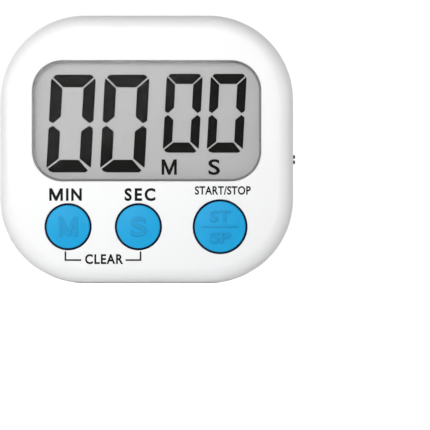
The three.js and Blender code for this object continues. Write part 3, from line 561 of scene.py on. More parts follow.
def speckled(name, first, speck, rough, size, amount, depth, **sockets):
    """A speckled finish, its specks in millimetres and their depth in thousandths of one."""
    if name in bpy.data.materials:
        return bpy.data.materials[name]
    material, tree, shader = new_material(name, **sockets)
    values = {
        "Colour": rgba(first),
        "Speck colour": rgba(speck),
        "Speck size": size * MM,
        "Amount": amount,
        "Depth": depth * 1e-6,
        "Roughness": rough,
    }
    use_group(tree, shader, shared("specks", speckle_group), values)
    return material


def shade(value, share):
    return tuple(c * share for c in value)


def white_plastic():
    sizes = bpy.context.scene.timer_body
    return plastic(
        "white_plastic", sizes.white, shade(sizes.white, 0.985), sizes.gloss, grain=0.5, depth=2.5
    )


def key_plastic(name, blue, gap_shade=None):
    return plastic(
        name, blue, shade(blue, 0.95), 0.45, grain=0.35, depth=2, handling=0.05, gap_shade=gap_shade,
        Specular_IOR_Level=0.2,
    )


def blue_plastic():
    # Painted shade: the dark navy that each key turns behind the face stands in for the shade in the
    # gap round the key.
    shade_navy = (0.001, 0.01, 0.06)
    return key_plastic("blue_plastic", bpy.context.scene.timer_keys.blue, shade_navy)


def mark_plastic():
    """The raised marks are a little darker than the keys that they stand on."""
    return key_plastic("mark_plastic", shade(bpy.context.scene.timer_keys.blue, 0.84))


def black_plastic():
    return plastic(
        "black_plastic", (0.012, 0.012, 0.013), (0.02, 0.02, 0.02), 0.42, grain=0.3, depth=8,
        handling=0.15,
    )


def label_ink():
    return plastic(
        "label_ink", (0.002, 0.002, 0.002), (0.005, 0.005, 0.005), 0.6, grain=0.15, depth=2,
        Specular_IOR_Level=0.15,
    )


def display_field():
    field = bpy.context.scene.timer_display.field
    return speckled("display_field", field, shade(field, 0.9), 0.42, 0.1, 0.5, 0.6)


def display_ink():
    ink = bpy.context.scene.timer_display.ink
    return speckled(
        "display_ink", ink, shade(ink, 1.6), 0.55, 0.2, 0.9, 1, Specular_IOR_Level=0.06
    )


def clear_lens():
    if "clear_lens" in bpy.data.materials:
        return bpy.data.materials["clear_lens"]
    material, tree, shader = new_material("clear_lens", IOR=1.49)
    values = {
        "Grain size": 6 * MM,
        "Grain depth": 0.3e-6,
        "Roughness": 0.06,
        "Handling": 0.05,
    }
    use_group(tree, shader, shared("moulded_plastic", moulded_group), values, False)
    # Painted shade: a thin band round the lens's edge is grey and less clear, and darkens the
    # display there, in place of the shade and refraction at the window's edge.
    gap, line = 0.2 * MM, 0.34 * MM
    rim = rim_mask(tree, *(size - gap for size in WINDOW), WINDOW_MIDDLE, line)
    tone = blend_colours(tree, rim, (0.02, 0.022, 0.022, 1), (0.24, 0.24, 0.24, 1))
    tree.links.new(tone, shader.inputs["Base Color"])
    clear, dark = 0.035, 0.42
    alpha = maths(tree, "MULTIPLY_ADD", rim, dark, clear)
    tree.links.new(alpha, shader.inputs["Alpha"])
    return material


def rim_mask(tree, half_width, half_height, corner, middle, width):
    """One along the rim of an upright rectangle with round corners, and nought inside it."""
    place = add(tree, "ShaderNodeTexCoord").outputs["Object"]
    parts = add(tree, "ShaderNodeSeparateXYZ", {"Vector": place}).outputs
    reach = []
    for part, centre, half in (("X", 0.0, half_width), ("Z", middle, half_height)):
        offset = maths(tree, "SUBTRACT", parts[part], centre)
        from_middle = maths(tree, "ABSOLUTE", offset, 0.0)
        beyond = maths(tree, "SUBTRACT", from_middle, half - corner)
        past = maths(tree, "MAXIMUM", beyond, 0.0)
        reach.append(maths(tree, "MULTIPLY", past, past))
    out = maths(tree, "SQRT", maths(tree, "ADD", reach[0], reach[1]), 0.0)
    values = {"Value": out, "From Min": corner - width * 1.3, "From Max": corner - width * 0.8}
    return add(tree, "ShaderNodeMapRange", values).outputs[0]


def display_glass():
    if "display_glass" in bpy.data.materials:
        return bpy.data.materials["display_glass"]
    material, tree, shader = new_material("display_glass", Alpha=0.35, IOR=1.52)
    values = {
        "Colour": (0.3, 0.36, 0.33, 1),
        "Second colour": (0.26, 0.31, 0.29, 1),
        "Grain size": 5 * MM,
        "Grain depth": 0.3e-6,
        "Roughness": 0.06,
        "Handling": 0.05,
    }
    use_group(tree, shader, shared("moulded_plastic", moulded_group), values)
    return material


def board_finish():
    """Green solder mask over copper tracks."""
    if "solder_mask" in bpy.data.materials:
        return bpy.data.materials["solder_mask"]
    material, tree, shader = new_material("solder_mask", Roughness=0.35)
    place = add(tree, "ShaderNodeTexCoord").outputs["Object"]
    black, white = (0, 0, 0, 1), (1, 1, 1, 1)
    pattern = {"Scale": 190.0, "Mortar Size": 0.035}
    pattern.update({"Color1": black, "Color2": black, "Mortar": white})
    tracks = add(tree, "ShaderNodeTexBrick", pattern)
    turn = add(tree, "ShaderNodeMapping", {"Vector": place, "Rotation": (math.radians(90), 0, 0)})
    tree.links.new(turn.outputs[0], tracks.inputs["Vector"])
    cloud = noise(tree, place, 300.0, 2.0)
    green = blend_colours(tree, cloud, (0.012, 0.11, 0.035, 1), (0.02, 0.15, 0.05, 1))
    lines = blend_colours(tree, tracks.outputs["Color"], green, (0.05, 0.24, 0.09, 1))
    height = add(tree, "ShaderNodeBump", {"Strength": 0.7, "Distance": 0.00003})
    tree.links.new(tracks.outputs["Color"], height.inputs["Height"])
    tree.links.new(lines, shader.inputs["Base Color"])
    tree.links.new(height.outputs[0], shader.inputs["Normal"])
    return material


def cell_finish():
    """The cell's printed sleeve, with bare metal at both ends and a plain band."""
    if "cell_sleeve" in bpy.data.materials:
        return bpy.data.materials["cell_sleeve"]
    material, tree, shader = new_material("cell_sleeve")
    low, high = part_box("battery_cell")
    place = add(tree, "ShaderNodeTexCoord").outputs["Object"]
    along = add(tree, "ShaderNodeSeparateXYZ", {"Vector": place}).outputs["X"]
    share = add(
        tree, "ShaderNodeMapRange", {"Value": along, "From Min": low.x, "From Max": high.x}
    ).outputs[0]

    def bands(stops):
        ramp = add(tree, "ShaderNodeValToRGB", {"Fac": share})
        ramp.color_ramp.interpolation = "CONSTANT"
        while len(ramp.color_ramp.elements) < len(stops):
            ramp.color_ramp.elements.new(0.5)
        for element, (position, value) in zip(ramp.color_ramp.elements, stops):
            element.position, element.color = position, (*value, 1)
        return ramp.outputs[0]

    steel, dark = (0.6, 0.6, 0.6), (0.02, 0.02, 0.02)
    green, pale = (0.02, 0.16, 0.07), (0.7, 0.72, 0.68)
    sleeve_start, sleeve_end = 0.012, 0.975
    stops = [(0, steel), (sleeve_start, dark), (0.12, green), (0.66, pale), (0.7, green)]
    sleeve = bands(stops + [(0.955, dark), (sleeve_end, steel)])
    bare = bands([(0, (1, 1, 1)), (sleeve_start, (0, 0, 0)), (sleeve_end, (1, 1, 1))])
    scuffs = noise(tree, place, 700.0, 3.0)
    rough = maths(tree, "MULTIPLY_ADD", scuffs, 0.25, 0.18)
    tone = blend_colours(tree, maths(tree, "MULTIPLY", scuffs, 0.2), sleeve, (0.3, 0.3, 0.3, 1))
    tree.links.new(tone, shader.inputs["Base Color"])
    tree.links.new(bare, shader.inputs["Metallic"])
    tree.links.new(rough, shader.inputs["Roughness"])
    return material


def striped_rubber():
    return speckled("striped_rubber", (0.55, 0.4, 0.36), (0.05, 0.05, 0.05), 0.7, 0.15, 1.4, 8)


def grey_silicone():
    return speckled("grey_silicone", (0.42, 0.44, 0.44), (0.55, 0.56, 0.56), 0.6, 0.5, 0.8, 4)


def carbon_rubber():
    return speckled("carbon_rubber", (0.012,) * 3, (0.05,) * 3, 0.85, 0.1, 1.2, 6)


def ferrite():
    return speckled(
        "ferrite", (0.045, 0.045, 0.048), (0.14, 0.14, 0.14), 0.55, 0.25, 1.2, 8, Metallic=0.4
    )


def ceramic():
    return speckled("ceramic", (0.75, 0.72, 0.64), (0.6, 0.58, 0.5), 0.6, 0.3, 0.8, 4)


def black_epoxy():
    return plastic(
        "black_epoxy", (0.006,) * 3, (0.015, 0.015, 0.016), 0.2, grain=1.2, depth=20, handling=0.2
    )


def shrink_sleeve():
    return plastic("capacitor_sleeve", (0.012, 0.02, 0.05), (0.02, 0.03, 0.07), 0.3, grain=0.6)


# What each slot of the record is finished in.
SLOT_FINISHES = {
    "lens_clear": clear_lens,
    "display_glass": display_glass,
    "display_film": display_field,
    "zebra_rubber": striped_rubber,
    "silicone": grey_silicone,
    "carbon_pill": carbon_rubber,
    "circuit_board": board_finish,
    "epoxy": black_epoxy,
    "nickel_can": lambda: metal("nickel", (0.72, 0.71, 0.68), (0.5, 0.49, 0.47), 0.25),
    "capacitor_sleeve": shrink_sleeve,
    "black_plastic": black_plastic,
    "spring_steel": lambda: metal("spring_steel", (0.66, 0.67, 0.68), (0.42, 0.42, 0.42), 0.3),
    "cell_wrap": cell_finish,
    "lead_black": lambda: plastic("black_lead", (0.014,) * 3, (0.03,) * 3, 0.45, depth=8),
    "lead_red": lambda: plastic("red_lead", (0.5, 0.02, 0.015), (0.4, 0.015, 0.012), 0.45, depth=8),
    "magnet_ferrite": ferrite,
    "sounder_brass": lambda: metal("brass", (0.72, 0.5, 0.18), (0.5, 0.34, 0.12), 0.35),
    "sounder_ceramic": ceramic,
    "screw_steel": lambda: metal("screw_steel", (0.55, 0.55, 0.56), (0.3, 0.3, 0.3), 0.32),
    "shell_white": white_plastic,
    "key_blue": blue_plastic,
}


# The pieces that are shown as the CAD model has them, and the slot that each is finished in.
KEPT_PIECES = {
    "lens_clear": ("display_lens",),
    "display_film": ("lcd_front_polariser", "lcd_reflector"),
    "display_glass": ("lcd_front_glass", "lcd_rear_glass"),
    "zebra_rubber": ("zebra_strip",),
    "silicone": ("key_mat", "minute_dome_crown", "second_dome_crown", "start_stop_dome_crown"),
    "carbon_pill": ("minute_contact_pill", "second_contact_pill", "start_stop_contact_pill"),
    "circuit_board": ("main_board",),
    "epoxy": ("chip_blob",),
    "nickel_can": ("crystal_can",),
    "capacitor_sleeve": ("capacitor",),
    "black_plastic": ("choke_coil", "switch_base", "switch_stem"),
    "spring_steel": ("switch_can", "battery_spring_contact", "battery_flat_contact"),
    "cell_wrap": ("battery_cell",),
    "lead_black": ("battery_lead_black", "sounder_lead_black"),
    "lead_red": ("battery_lead_red", "sounder_lead_red"),
    "sounder_brass": ("sounder_disc",),
    "sounder_ceramic": ("sounder_ceramic",),
    "screw_steel": ("board_screw_1", "board_screw_2", "board_screw_3", "board_screw_4"),
}


# ------------------------------------------------------------ shells


def body_outline(inset):
    corner = bpy.context.scene.timer_body.corner
    return rounded_outline(HALF_WIDTH - inset, HALF_HEIGHT - inset, corner - inset, 28, 0, MIDDLE)


def outer_skin(name, plane, parting, radius, inward):
    """A shell's outer surface, from the flat plane over the round edge to the parting line.
    inward is +1 where the inside of the body lies towards +Y and -1 where it lies towards -Y."""
    deep = bpy.context.scene.timer_body.skin
    overlap = 0.6 * MM
    steps = 12

    def edge_point(reach, step):
        turn = step / steps * math.pi / 2
        return (
            radius - reach * math.sin(turn),
            plane + inward * (radius - reach * math.cos(turn)),
        )

    outer = [(radius + overlap, plane - inward * PROUD)]
    outer += [edge_point(radius + PROUD, step) for step in range(steps + 1)]
    outer.append((-PROUD, parting))
    inner = [(deep, parting)]
    inner += [edge_point(radius - deep, step) for step in range(steps, -1, -2)]
    inner.append((radius + overlap, plane + inward * deep))
    rings = [at_depth(body_outline(inset), y) for inset, y in outer + inner]
    return mesh_through(name, rings, ends=False)


def lipped_cutter(name, outline_at, plane, inward, lip, depth):
    """Cuts an opening through a flat plane and rounds its edge. outline_at gives the opening's
    outline, grown by a margin."""
    slack = 0.015 * MM
    steps = 5
    profile = [(lip, plane - inward * 1.2 * MM)]
    for step in range(steps + 1):
        turn = step / steps * math.pi / 2
        drop = lip * (1 - math.cos(turn))
        profile.append((lip - lip * math.sin(turn), plane + inward * drop))
    profile.append((0, plane + inward * depth))
    rings = [at_depth(outline_at(grow + slack), y) for grow, y in profile]
    return mesh_through(name, rings)


def round_cutter(name, x, z, radius, steps, plane, inward, lip, depth):
    def outline_at(grow):
        return circle(radius + grow, x, z, steps)

    return lipped_cutter(name, outline_at, plane, inward, lip, depth)


def window_outline(grow):
    half_width, half_height, corner = (size + grow for size in WINDOW)
    return rounded_outline(half_width, half_height, corner, 20, 0, WINDOW_MIDDLE)


def knob_slot():
    """Cuts the knob's slot in the right side, its edge a little wider than the slot."""
    half_deep, half_high, corner = 1.46 * MM, 2.46 * MM, 0.35 * MM
    y, z = 0.1 * MM, 31.1 * MM
    rings = []
    for out, grow in ((1, 0.25), (0, 0.25), (-0.1, 0.08), (-0.25, 0), (-1.4, 0)):
        x, g = HALF_WIDTH + out * MM, grow * MM
        outline = rounded_outline(half_deep + g, half_high + g, corner + g, 5, y, z)
        rings.append([(x, py, pz) for py, pz in outline])
    return mesh_through("slot", rings)


class TIMER_OT_front_shell(Operator):
    """Builds the front shell, with its window, key holes and knob slot"""

    bl_idname = "timer.front_shell"
    bl_label = "Front Shell"

    def execute(self, context):
        sizes = context.scene.timer_body
        through, key_gap, key_lip = 1.9 * MM, 0.3 * MM, sizes.lip * 0.35
        shell = clean_copy("front_case", "front_shell")
        carve(shell, outer_skin("skin", FACE, FRONT_PARTING, sizes.front_round, 1), "UNION")
        carve(shell, lipped_cutter("window", window_outline, FACE, 1, sizes.lip, through))
        for node in KEYS:
            x, z, radius = key_place(node)
            carve(shell, round_cutter("hole", x, z, radius + key_gap, 96, FACE, 1, key_lip, through))
        carve(shell, knob_slot())
        smooth(flatten_faces(shell, 0.3), 28)
        finish_piece(shell, white_plastic(), BODY, "shell_white", "front_shell")
        return {"FINISHED"}


class TIMER_OT_rear_shell(Operator):
    """Builds the rear shell, with its pockets, screw holes, hanging hole and battery opening"""

    bl_idname = "timer.rear_shell"
    bl_label = "Rear Shell"

    def execute(self, context):
        sizes = context.scene.timer_body
        shell = clean_copy("rear_case", "rear_shell")
        carve(shell, outer_skin("skin", BACK, REAR_PARTING, sizes.back_round, -1), "UNION")
        pockets = [(node, 7.2 * MM, 2.6 * MM) for node in MAGNETS]
        pockets += [(node, 2.3 * MM, 3.3 * MM) for node in CASE_SCREWS]
        lip = sizes.back_lip
        for node, radius, depth in pockets:
            x, z, _ = round_place(node)
            carve(shell, round_cutter("pocket", x, z, radius, 80, BACK, -1, lip, depth))
        carve(shell, lipped_cutter("keyhole", keyhole_outline, BACK, -1, lip, 1.7 * MM))
        smooth(flatten_faces(shell, 0.3), 28)
        finish_piece(shell, white_plastic(), BODY, "shell_white", "rear_shell")
        return {"FINISHED"}


def keyhole_outline(grow):
    """A round hole with a narrower slot above it, as one outline."""
    z, head, narrow, rise = 58.75 * MM, 3.6 * MM + grow, 1.9 * MM + grow, 5 * MM
    start = math.acos(narrow / head)
    points = []
    for n in range(41):
        turn = math.pi - start + (math.pi + 2 * start) * n / 40
        points.append((head * math.cos(turn), z + head * math.sin(turn)))
    for n in range(21):
        turn = math.pi * n / 20
        points.append((narrow * math.cos(turn), z + rise + narrow * math.sin(turn)))
    return points


# ------------------------------------------------------------ keys


def key_place(node):
    """The middle of a key, across and up, and the radius of its top."""
    x, z, radius = round_place(node)
    return x, z, radius - KEY_COLLAR


def crown_height(share):
    """How far a key's top lies over the face, at a share of the way out to its edge."""
    sizes = bpy.context.scene.timer_keys
    return sizes.rise - sizes.dish * min(share, 1.0) ** 2


def key_cap(name, node):
    """A hollow cap with a rounded top, a collar behind the wall and a plunger in its middle."""
    sizes = bpy.context.scene.timer_keys
    x, z, radius = key_place(node)
    collar, inner, plunger = radius + KEY_COLLAR, radius - 0.9 * MM, 2.2 * MM
    under, collar_front, collar_back = FACE + 0.8 * MM, FACE + 1.7 * MM, FACE + 2.5 * MM
    chamfer = 0.1 * MM
    radius -= sizes.ease
    flat = radius - sizes.edge
    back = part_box(node)[1].y
    profile = [(0, FACE - sizes.rise)]
    profile += [(flat * n / 10, FACE - crown_height(n / 10)) for n in range(1, 11)]
    fall = sizes.rise - sizes.dish - sizes.shoulder
    for n in range(1, 7):
        turn = n / 6 * math.pi / 2
        height = sizes.shoulder + fall * math.cos(turn)
        profile.append((flat + sizes.edge * math.sin(turn), FACE - height))
    profile += [(radius, collar_front), (collar - chamfer, collar_front)]
    profile += [(collar, collar_front + chamfer), (collar, collar_back), (inner, collar_back)]
    profile += [(inner, under), (plunger, under), (plunger, back), (0, back)]
    return turned(name, profile, x, z, 96)


def raised_mark(name, node, words, half_width, low, high):
    """Letters that stand on a key's rounded top; with no words, an M."""
    sizes = bpy.context.scene.timer_keys
    x, z, radius = key_place(node)
    span = (x - half_width * MM, x + half_width * MM, z + low * MM, z + high * MM)
    depths = (-sizes.mark, MARK_ROOT)
    if words:
        mark = letters(name, words, *span, *depths, 0.012, 0.012)
    else:
        mark = soften(letter_m(name, *span, *depths, 0.9 * MM), 0.07 * MM, 2)
    flat = radius - sizes.edge
    for v in mark.data.vertices:
        out = math.hypot(v.co.x - x, v.co.z - z) / flat
        v.co.y += FACE - crown_height(out)
    return mark


def raised_bar(name, node):
    """The bar across the large key, bent with its top."""
    sizes = bpy.context.scene.timer_keys
    x, z, radius = key_place(node)
    half, side = 4.65 * MM, 0.26 * MM
    drop, narrow = 0.05 * MM, 0.07 * MM
    rings = []
    for n in range(17):
        across = -half + 2 * half * n / 16
        top = FACE - crown_height(abs(across) / (radius - sizes.edge))
        root, high = top + MARK_ROOT, top - sizes.mark
        section = [(root, -side), (high + drop, -side), (high, narrow - side)]
        section += [(high, side - narrow), (high + drop, side), (root, side)]
        rings.append([(x + across, y, z + up) for y, up in section])
    return mesh_through(name, rings)


class TIMER_OT_keys(Operator):
    """Builds the three round keys and their raised marks"""

    bl_idname = "timer.keys"
    bl_label = "Keys"

    def execute(self, context):
        for node in KEYS:
            cap = smooth(key_cap(node + "_cap", node), 40)
            finish_piece(cap, blue_plastic(), node + "_set", "key_blue", node)
        minute, second, start_stop = KEYS
        marks = (
            (raised_mark("minute_mark", minute, "", 2.45, -2.5, 2.5), minute),
            (raised_mark("second_mark", second, "S", 2.15, -2.5, 2.5), second),
            (raised_mark("start_mark", start_stop, "ST", 2.75, 1.2, 4.2), start_stop),
            (raised_mark("stop_mark", start_stop, "SP", 2.75, -4.3, -1.3), start_stop),
            (raised_bar("start_stop_bar", start_stop), start_stop),
        )
        for mark, node in marks:
            finish_piece(smooth(mark, 40), mark_plastic(), node + "_set", "key_blue")
        return {"FINISHED"}


# ------------------------------------------------------------ display


def digit_segments(w, h, bar, side, waist, s):
    """Outlines of the six dark segments of a nought of width w and height h. Their ends are cut
    aslant, as on a real display, by amounts that grow with s."""

    def flip(points):
        return [(w - px, pz) for px, pz in reversed(points)]

    top = [(1.3 * s, h), (w - 1.3 * s, h), (w - 0.5 * s, h - 0.7 * s)]
    top += [(w - side - 0.2 * s, h - bar), (side + 0.2 * s, h - bar), (0.5 * s, h - 0.7 * s)]
    base = [(1.9 * s, 0), (0.9 * s, 0.3 * s), (0.4 * s, 0.9 * s), (side + 0.35 * s, bar)]
    base += [(w - side - 0.25 * s, bar), (w - 0.75 * s, 0.5 * s), (w - 1.4 * s, 0)]
    upper = [(0.2 * s, h - 0.95 * s), (0, h - 1.7 * s), (0, waist + 0.95 * s)]
    upper += [(1.08 * s, waist + 0.24 * s), (side, waist + 2.0 * s), (side, h - bar - 0.3 * s)]
    lower = [(0, waist - 1.15 * s), (0, 1.7 * s), (0.1 * s, 1.2 * s), (side, bar + 0.28 * s)]
    lower += [(side, waist - 1.9 * s), (1.08 * s, waist - 0.3 * s)]
    return [top, base, upper, lower, flip(upper), flip(lower)]


def digits(name, lefts, low, height, side, waist, cut, near, far):
    """Noughts side by side. side and waist are shares of their height."""
    lean = math.tan(bpy.context.scene.timer_display.slant)
    width, bar = height * 0.457, height * 0.13
    segments = digit_segments(width, height, bar, height * side, height * waist, cut)
    pieces = []
    for left in lefts:
        for outline in segments:
            points = [(left * MM + px + lean * pz, low + pz) for px, pz in outline]
            pieces.append(slab("segment", points, near, far))
    return join_pieces(name, pieces)


class TIMER_OT_display(Operator):
    """Builds the display's digits and letters"""

    bl_idname = "timer.display"
    bl_label = "Display"

    def execute(self, context):
        look = context.scene.timer_display
        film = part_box("lcd_front_polariser")[0].y
        depths = (film - 0.06 * MM, film - 0.02 * MM)
        minutes_low, seconds_low = MIDDLE - 6.0 * MM, MIDDLE - 0.87 * MM
        m_span = (3.85 * MM, 7.8 * MM, MIDDLE - 6.6 * MM, MIDDLE - 2.6 * MM)
        s_span = (16.0 * MM, 19.0 * MM, MIDDLE - 6.65 * MM, MIDDLE - 2.55 * MM)
        marks = [
            letter_m("m", *m_span, *depths, 0.7 * MM),
            letters("s", "S", *s_span, *depths, 0.018),
        ]
        pieces = (
            digits(
                "minute_digits", (-26.16, -12.22), minutes_low, look.large, 0.1215, 0.492,
                1.0 * MM, *depths
            ),
            digits(
                "second_digits", (4.1, 15.53), seconds_low, look.small, 0.115, 0.491,
                0.81 * MM, *depths
            ),
            join_pieces("display_letters", marks),
        )
        for obj in pieces:
            finish_piece(smooth(obj, 30), display_ink(), BODY, "display_film")
        return {"FINISHED"}


# ------------------------------------------------------------ printed labels


def bracket(corner, end, near, far):
    """A line that comes down from under a key and turns towards the word between two keys."""
    half, top, turn = 0.21, -26.5, -28.75
    way = 1 if end > corner else -1
    outer, inner = corner - way * half, corner + way * half
    outline = [(outer, top), (outer, turn - half), (end, turn - half)]
    outline += [(end, turn + half), (inner, turn + half), (inner, top)]
    return slab("bracket", [(px * MM, MIDDLE + pz * MM) for px, pz in outline], near, far)


class TIMER_OT_labels(Operator):
    """Builds the printed names of the keys and the line that joins two of them"""

    bl_idname = "timer.labels"
    bl_label = "Labels"

    def execute(self, context):
        depths = (FACE - 0.03 * MM, FACE + PROUD)

        def span(left, right, low, high):
            return (left * MM, right * MM, MIDDLE + low * MM, MIDDLE + high * MM)

        m = letter_m("m", *span(-25.3, -21.75, -13.38, -10.12), *depths, 0.64 * MM)
        rest = letters("in", "IN", *span(-20.95, -16.85, -13.38, -10.12), *depths, 0.034, 0.0, 1.2)
        pieces = [join_pieces("label_min", [m, rest])]
        rows = (
            ("label_sec", "SEC", span(-5.75, 2.25, -13.43, -10.07), 0.034, 1.3),
            ("label_start_stop", "START/STOP", span(12.5, 27.0, -11.8, -9.55), 0.026, 1.06),
            ("label_clear", "CLEAR", span(-16.0, -6.1, -29.8, -27.2), 0.03, 1.14),
        )
        for name, words, place, weight, spread in rows:
            pieces.append(letters(name, words, *place, *depths, weight, 0.0, spread))
        brackets = [bracket(-21.1, -17.0, *depths), bracket(-1.6, -5.5, *depths)]
        pieces.append(join_pieces("label_brackets", brackets))
        for obj in pieces:
            finish_piece(smooth(obj, 30), label_ink(), BODY, "black_plastic")
        return {"FINISHED"}


# ------------------------------------------------------------ knob, stand, door, magnets and screws


def softened_piece(name, node, edge, material, body, slot):
    """A CAD node's own shape with its edges rounded."""
    piece = soften(flatten_faces(clean_copy(name, node)), edge)
    return finish_piece(smooth(piece, 40), material, body, slot, node)


class TIMER_OT_knob(Operator):
    """Builds the slide switch's ribbed knob"""

    bl_idname = "timer.knob"
    bl_label = "Knob"

    def execute(self, context):
        softened_piece(
            "slide_knob", "switch_knob", 0.14 * MM, black_plastic(), "power_slider", "black_plastic"
        )
        return {"FINISHED"}


class TIMER_OT_stand(Operator):
    """Builds the fold-out stand"""

    bl_idname = "timer.stand"
    bl_label = "Stand"

    def execute(self, context):
        softened_piece(
            "stand_leaf", "stand", 0.22 * MM, white_plastic(), "fold_out_stand", "shell_white"
        )
        return {"FINISHED"}


class TIMER_OT_door(Operator):
    """Builds the battery door"""

    bl_idname = "timer.door"
    bl_label = "Battery Door"

    def execute(self, context):
        softened_piece(
            "battery_cover_plate", "battery_door", 0.14 * MM, white_plastic(), "battery_cover",
            "shell_white",
        )
        return {"FINISHED"}


class TIMER_OT_magnets(Operator):
    """Builds the two round magnets"""

    bl_idname = "timer.magnets"
    bl_label = "Magnets"

    def execute(self, context):
        edge = 0.35 * MM
        for node in MAGNETS:
            low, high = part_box(node)
            x, z, radius = round_place(node)
            half = [(0, high.y)]
            for n in range(6):
                turn = n / 5 * math.pi / 2
                out = radius - edge + edge * math.sin(turn)
                half.append((out, high.y - edge + edge * math.cos(turn)))
            other = [(r, low.y + high.y - y) for r, y in reversed(half)]
            disc = smooth(turned(node + "_disc", half + other, x, z, 96), 40)
            finish_piece(disc, ferrite(), BODY, "magnet_ferrite", node)
        return {"FINISHED"}


def screw_profile(radius, low, high):
    """A domed head and a shank with rounds of thread, from the head's top to the tip."""
    head, shank, pitch, rounds = 1.3 * MM, 1.0 * MM, 0.8 * MM, 8
    profile = [(0, high)]
    for step in range(1, 9):
        turn = step / 8 * math.pi / 2
        profile.append((radius * 0.98 * math.sin(turn), high - head * 0.8 * (1 - math.cos(turn))))
    profile += [(radius, high - head * 0.9), (radius, high - head), (shank, high - head)]
    start = high - head - pitch / 2
    for n in range(rounds):
        profile.append((shank * 0.78, start - pitch * n))
        profile.append((shank, start - pitch * (n + 0.5)))
    return profile + [(shank * 0.6, low + 0.3 * MM), (0, low)]


def recess_cutter(x, z, top, lean):
    """One arm of a crossed recess, narrower at its bottom than at its mouth."""
    cos, sin = math.cos(lean), math.sin(lean)
    rings = []
    for y, half, thin in ((top + 0.5 * MM, 1.3, 0.24), (top - 0.8 * MM, 0.75, 0.16)):
        corners = [(half, thin), (-half, thin), (-half, -thin), (half, -thin)]
        turned_corners = [(a * cos - b * sin, a * sin + b * cos) for a, b in corners]
        rings.append([(x + a * MM, y, z + b * MM) for a, b in turned_corners])
    return mesh_through("recess", rings)


class TIMER_OT_screws(Operator):
    """Builds the four case screws with their crossed recesses"""

    bl_idname = "timer.screws"
    bl_label = "Case Screws"

    def execute(self, context):
        for n, node in enumerate(CASE_SCREWS, 1):
            low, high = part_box(node)
            x, z, radius = round_place(node)
            screw = turned(node + "_fine", screw_profile(radius, low.y, high.y), x, z, 48)
            lean = math.radians(17 * n)
            for quarter in (0, math.pi / 2):
                carve(screw, recess_cutter(x, z, high.y, lean + quarter))
            steel = SLOT_FINISHES["screw_steel"]()
            finish_piece(smooth(screw, 35), steel, BODY, "screw_steel", node)
        return {"FINISHED"}


class TIMER_OT_inner_parts(Operator):
    """Gives every remaining piece the finish of its own material"""

    bl_idname = "timer.inner_parts"
    bl_label = "Inner Parts"

    def execute(self, context):
        for slot, names in KEPT_PIECES.items():
            for name in names:
                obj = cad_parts[name]
                mesh = obj.data
                mesh.materials.clear()
                mesh.materials.append(SLOT_FINISHES[slot]())
                mesh.polygons.foreach_set("use_smooth", [True] * len(mesh.polygons))
                mesh.set_sharp_from_angle(angle=math.radians(34))
                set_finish(obj, slot)
        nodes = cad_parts.items()
        plain = [name for name, obj in nodes if not (obj.hide_render or "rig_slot" in obj)]
        if plain:
            raise RuntimeError(f"these pieces have no finish: {plain}")
        return {"FINISHED"}


# ------------------------------------------------------------ stage


def softbox(name, place, size, power):
    """A round soft light aimed at the object's middle."""
    lamp = bpy.data.lights.new(name, "AREA")
    lamp.shape, lamp.size, lamp.energy = "DISK", size, power
    obj = link(bpy.data.objects.new(name, lamp))
    obj.location = place
    obj.visible_camera = False
    aim = Vector((0, 0, MIDDLE)) - Vector(place)
    obj.rotation_euler = aim.to_track_quat("-Z", "Y").to_euler()


def build_floor(look):
    """A wide round floor, a little brighter where the camera sees it."""
    radius, sides, under, glow_strength = 5.0, 64, 0.00001, 0.82
    outline = circle(radius, 0, 0, sides)
    mesh = bpy.data.meshes.new("floor")
    mesh.from_pydata([(x, y, -under) for x, y in outline], [], [list(range(sides))])
    floor = link(bpy.data.objects.new("floor", mesh))
    material, tree, shader = new_material("floor_paint", Roughness=0.75)
    place = add(tree, "ShaderNodeTexCoord").outputs["Object"]
    darker = shade(look.floor, 0.985)
    tone = blend_colours(tree, noise(tree, place, 4.0), rgba(look.floor), rgba(darker))
    tree.links.new(tone, shader.inputs["Base Color"])
    seen = add(tree, "ShaderNodeLightPath").outputs["Is Camera Ray"]
    strength = maths(tree, "MULTIPLY", seen, glow_strength)
    glow = add(tree, "ShaderNodeEmission", {"Strength": strength})
    both = add(tree, "ShaderNodeAddShader", {0: shader.outputs[0], 1: glow.outputs[0]})
    tree.links.new(both.outputs[0], tree.nodes["Material Output"].inputs[0])
    floor.data.materials.append(material)


def build_lights(look):
    key, fill, back = look.key_power, look.fill_power, look.back_power
    softbox("main_softbox", (-0.06, -0.3, 0.13), 0.22, key)
    softbox("left_softbox", (-0.32, -0.22, 0.02), 0.2, fill)
    softbox("right_softbox", (0.35, -0.12, 0.05), 0.25, fill * 0.5)
    softbox("back_left_softbox", (-0.3, 0.55, 0.32), 0.8, back)
    softbox("back_right_softbox", (0.4, 0.5, 0.3), 0.8, back * 0.7)


def build_surroundings(look):
    """A white background, and a softer light that is brightest low down."""
    world = bpy.data.worlds.new("surroundings")
    bpy.context.scene.world = world
    world.use_nodes = True
    tree = world.node_tree
    tree.nodes.clear()
    white = (1, 1, 1, 1)
    backdrop = add(tree, "ShaderNodeBackground", {"Color": white, "Strength": 1.05})
    up = add(tree, "ShaderNodeTexCoord").outputs["Generated"]
    height = add(tree, "ShaderNodeSeparateXYZ", {"Vector": up}).outputs["Z"]
    reach = {"From Min": -0.2, "From Max": 1.0, "To Min": look.sky * 1.25, "To Max": look.sky * 0.2}
    fade = add(tree, "ShaderNodeMapRange", {"Value": height, **reach}).outputs[0]
    light = add(tree, "ShaderNodeBackground", {"Color": white, "Strength": fade})
    seen = add(tree, "ShaderNodeLightPath").outputs["Is Camera Ray"]
    both = add(
        tree, "ShaderNodeMixShader", {0: seen, 1: light.outputs[0], 2: backdrop.outputs[0]}
    )
    out = add(tree, "ShaderNodeOutputWorld")
    tree.links.new(both.outputs[0], out.inputs[0])


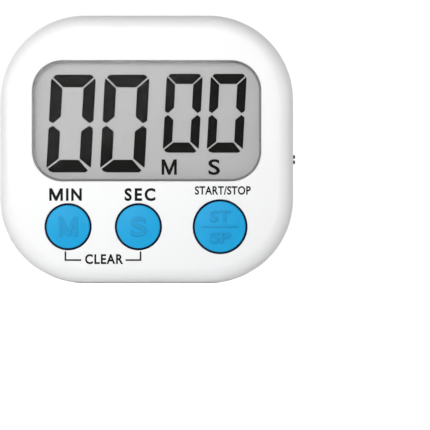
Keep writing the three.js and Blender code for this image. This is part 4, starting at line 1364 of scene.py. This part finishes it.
def build_camera(look):
    """A long lens square on to the face."""
    sensor, across, height = 36, 17.72 * MM, 17.7 * MM
    lens = bpy.data.cameras.new("camera")
    lens.sensor_width = sensor
    lens.lens = sensor * look.distance / look.view_width
    lens.clip_start, lens.clip_end = 0.05, 20
    camera = link(bpy.data.objects.new("camera", lens))
    camera.location = (across, -look.distance, height)
    camera.rotation_euler = (math.pi / 2, 0, 0)
    bpy.context.scene.camera = camera


class TIMER_OT_stage(Operator):
    """Sets the floor, the soft lights, the surroundings and the camera"""

    bl_idname = "timer.stage"
    bl_label = "Stage"

    def execute(self, context):
        look = context.scene.timer_stage
        build_floor(look)
        build_lights(look)
        build_surroundings(look)
        build_camera(look)
        context.scene.view_settings.view_transform = "Standard"
        return {"FINISHED"}


# ------------------------------------------------------------ panel and registration


class TIMER_PT_panel(Panel):
    """Shows the sizes and colours, and a button for each part of the timer"""

    bl_idname = "TIMER_PT_panel"
    bl_label = "Kitchen Timer"
    bl_space_type = "VIEW_3D"
    bl_region_type = "UI"
    bl_category = "Timer"

    def draw(self, context):
        for label, group in (
            ("Body", context.scene.timer_body),
            ("Keys", context.scene.timer_keys),
            ("Display", context.scene.timer_display),
            ("Stage", context.scene.timer_stage),
        ):
            box = self.layout.box()
            box.label(text=label)
            for key in group.__annotations__:
                box.prop(group, key)
        for operator in OPERATORS:
            self.layout.operator(operator.bl_idname)


OPERATORS = (
    TIMER_OT_stage,
    TIMER_OT_front_shell,
    TIMER_OT_rear_shell,
    TIMER_OT_keys,
    TIMER_OT_display,
    TIMER_OT_labels,
    TIMER_OT_knob,
    TIMER_OT_stand,
    TIMER_OT_door,
    TIMER_OT_magnets,
    TIMER_OT_screws,
    TIMER_OT_inner_parts,
)
GROUPS = {
    "timer_body": BodySizes,
    "timer_keys": KeySizes,
    "timer_display": DisplayLook,
    "timer_stage": StageLook,
}


def register():
    for kind in (*GROUPS.values(), *OPERATORS, TIMER_PT_panel):
        bpy.utils.register_class(kind)
    for name, kind in GROUPS.items():
        setattr(bpy.types.Scene, name, bpy.props.PointerProperty(type=kind))


def unregister():
    for name in GROUPS:
        delattr(bpy.types.Scene, name)
    for kind in reversed((*GROUPS.values(), *OPERATORS, TIMER_PT_panel)):
        bpy.utils.unregister_class(kind)


def main():
    register()
    for operator in OPERATORS:
        group, name = operator.bl_idname.split(".")
        getattr(getattr(bpy.ops, group), name)()


if __name__ == "__main__":
    main()
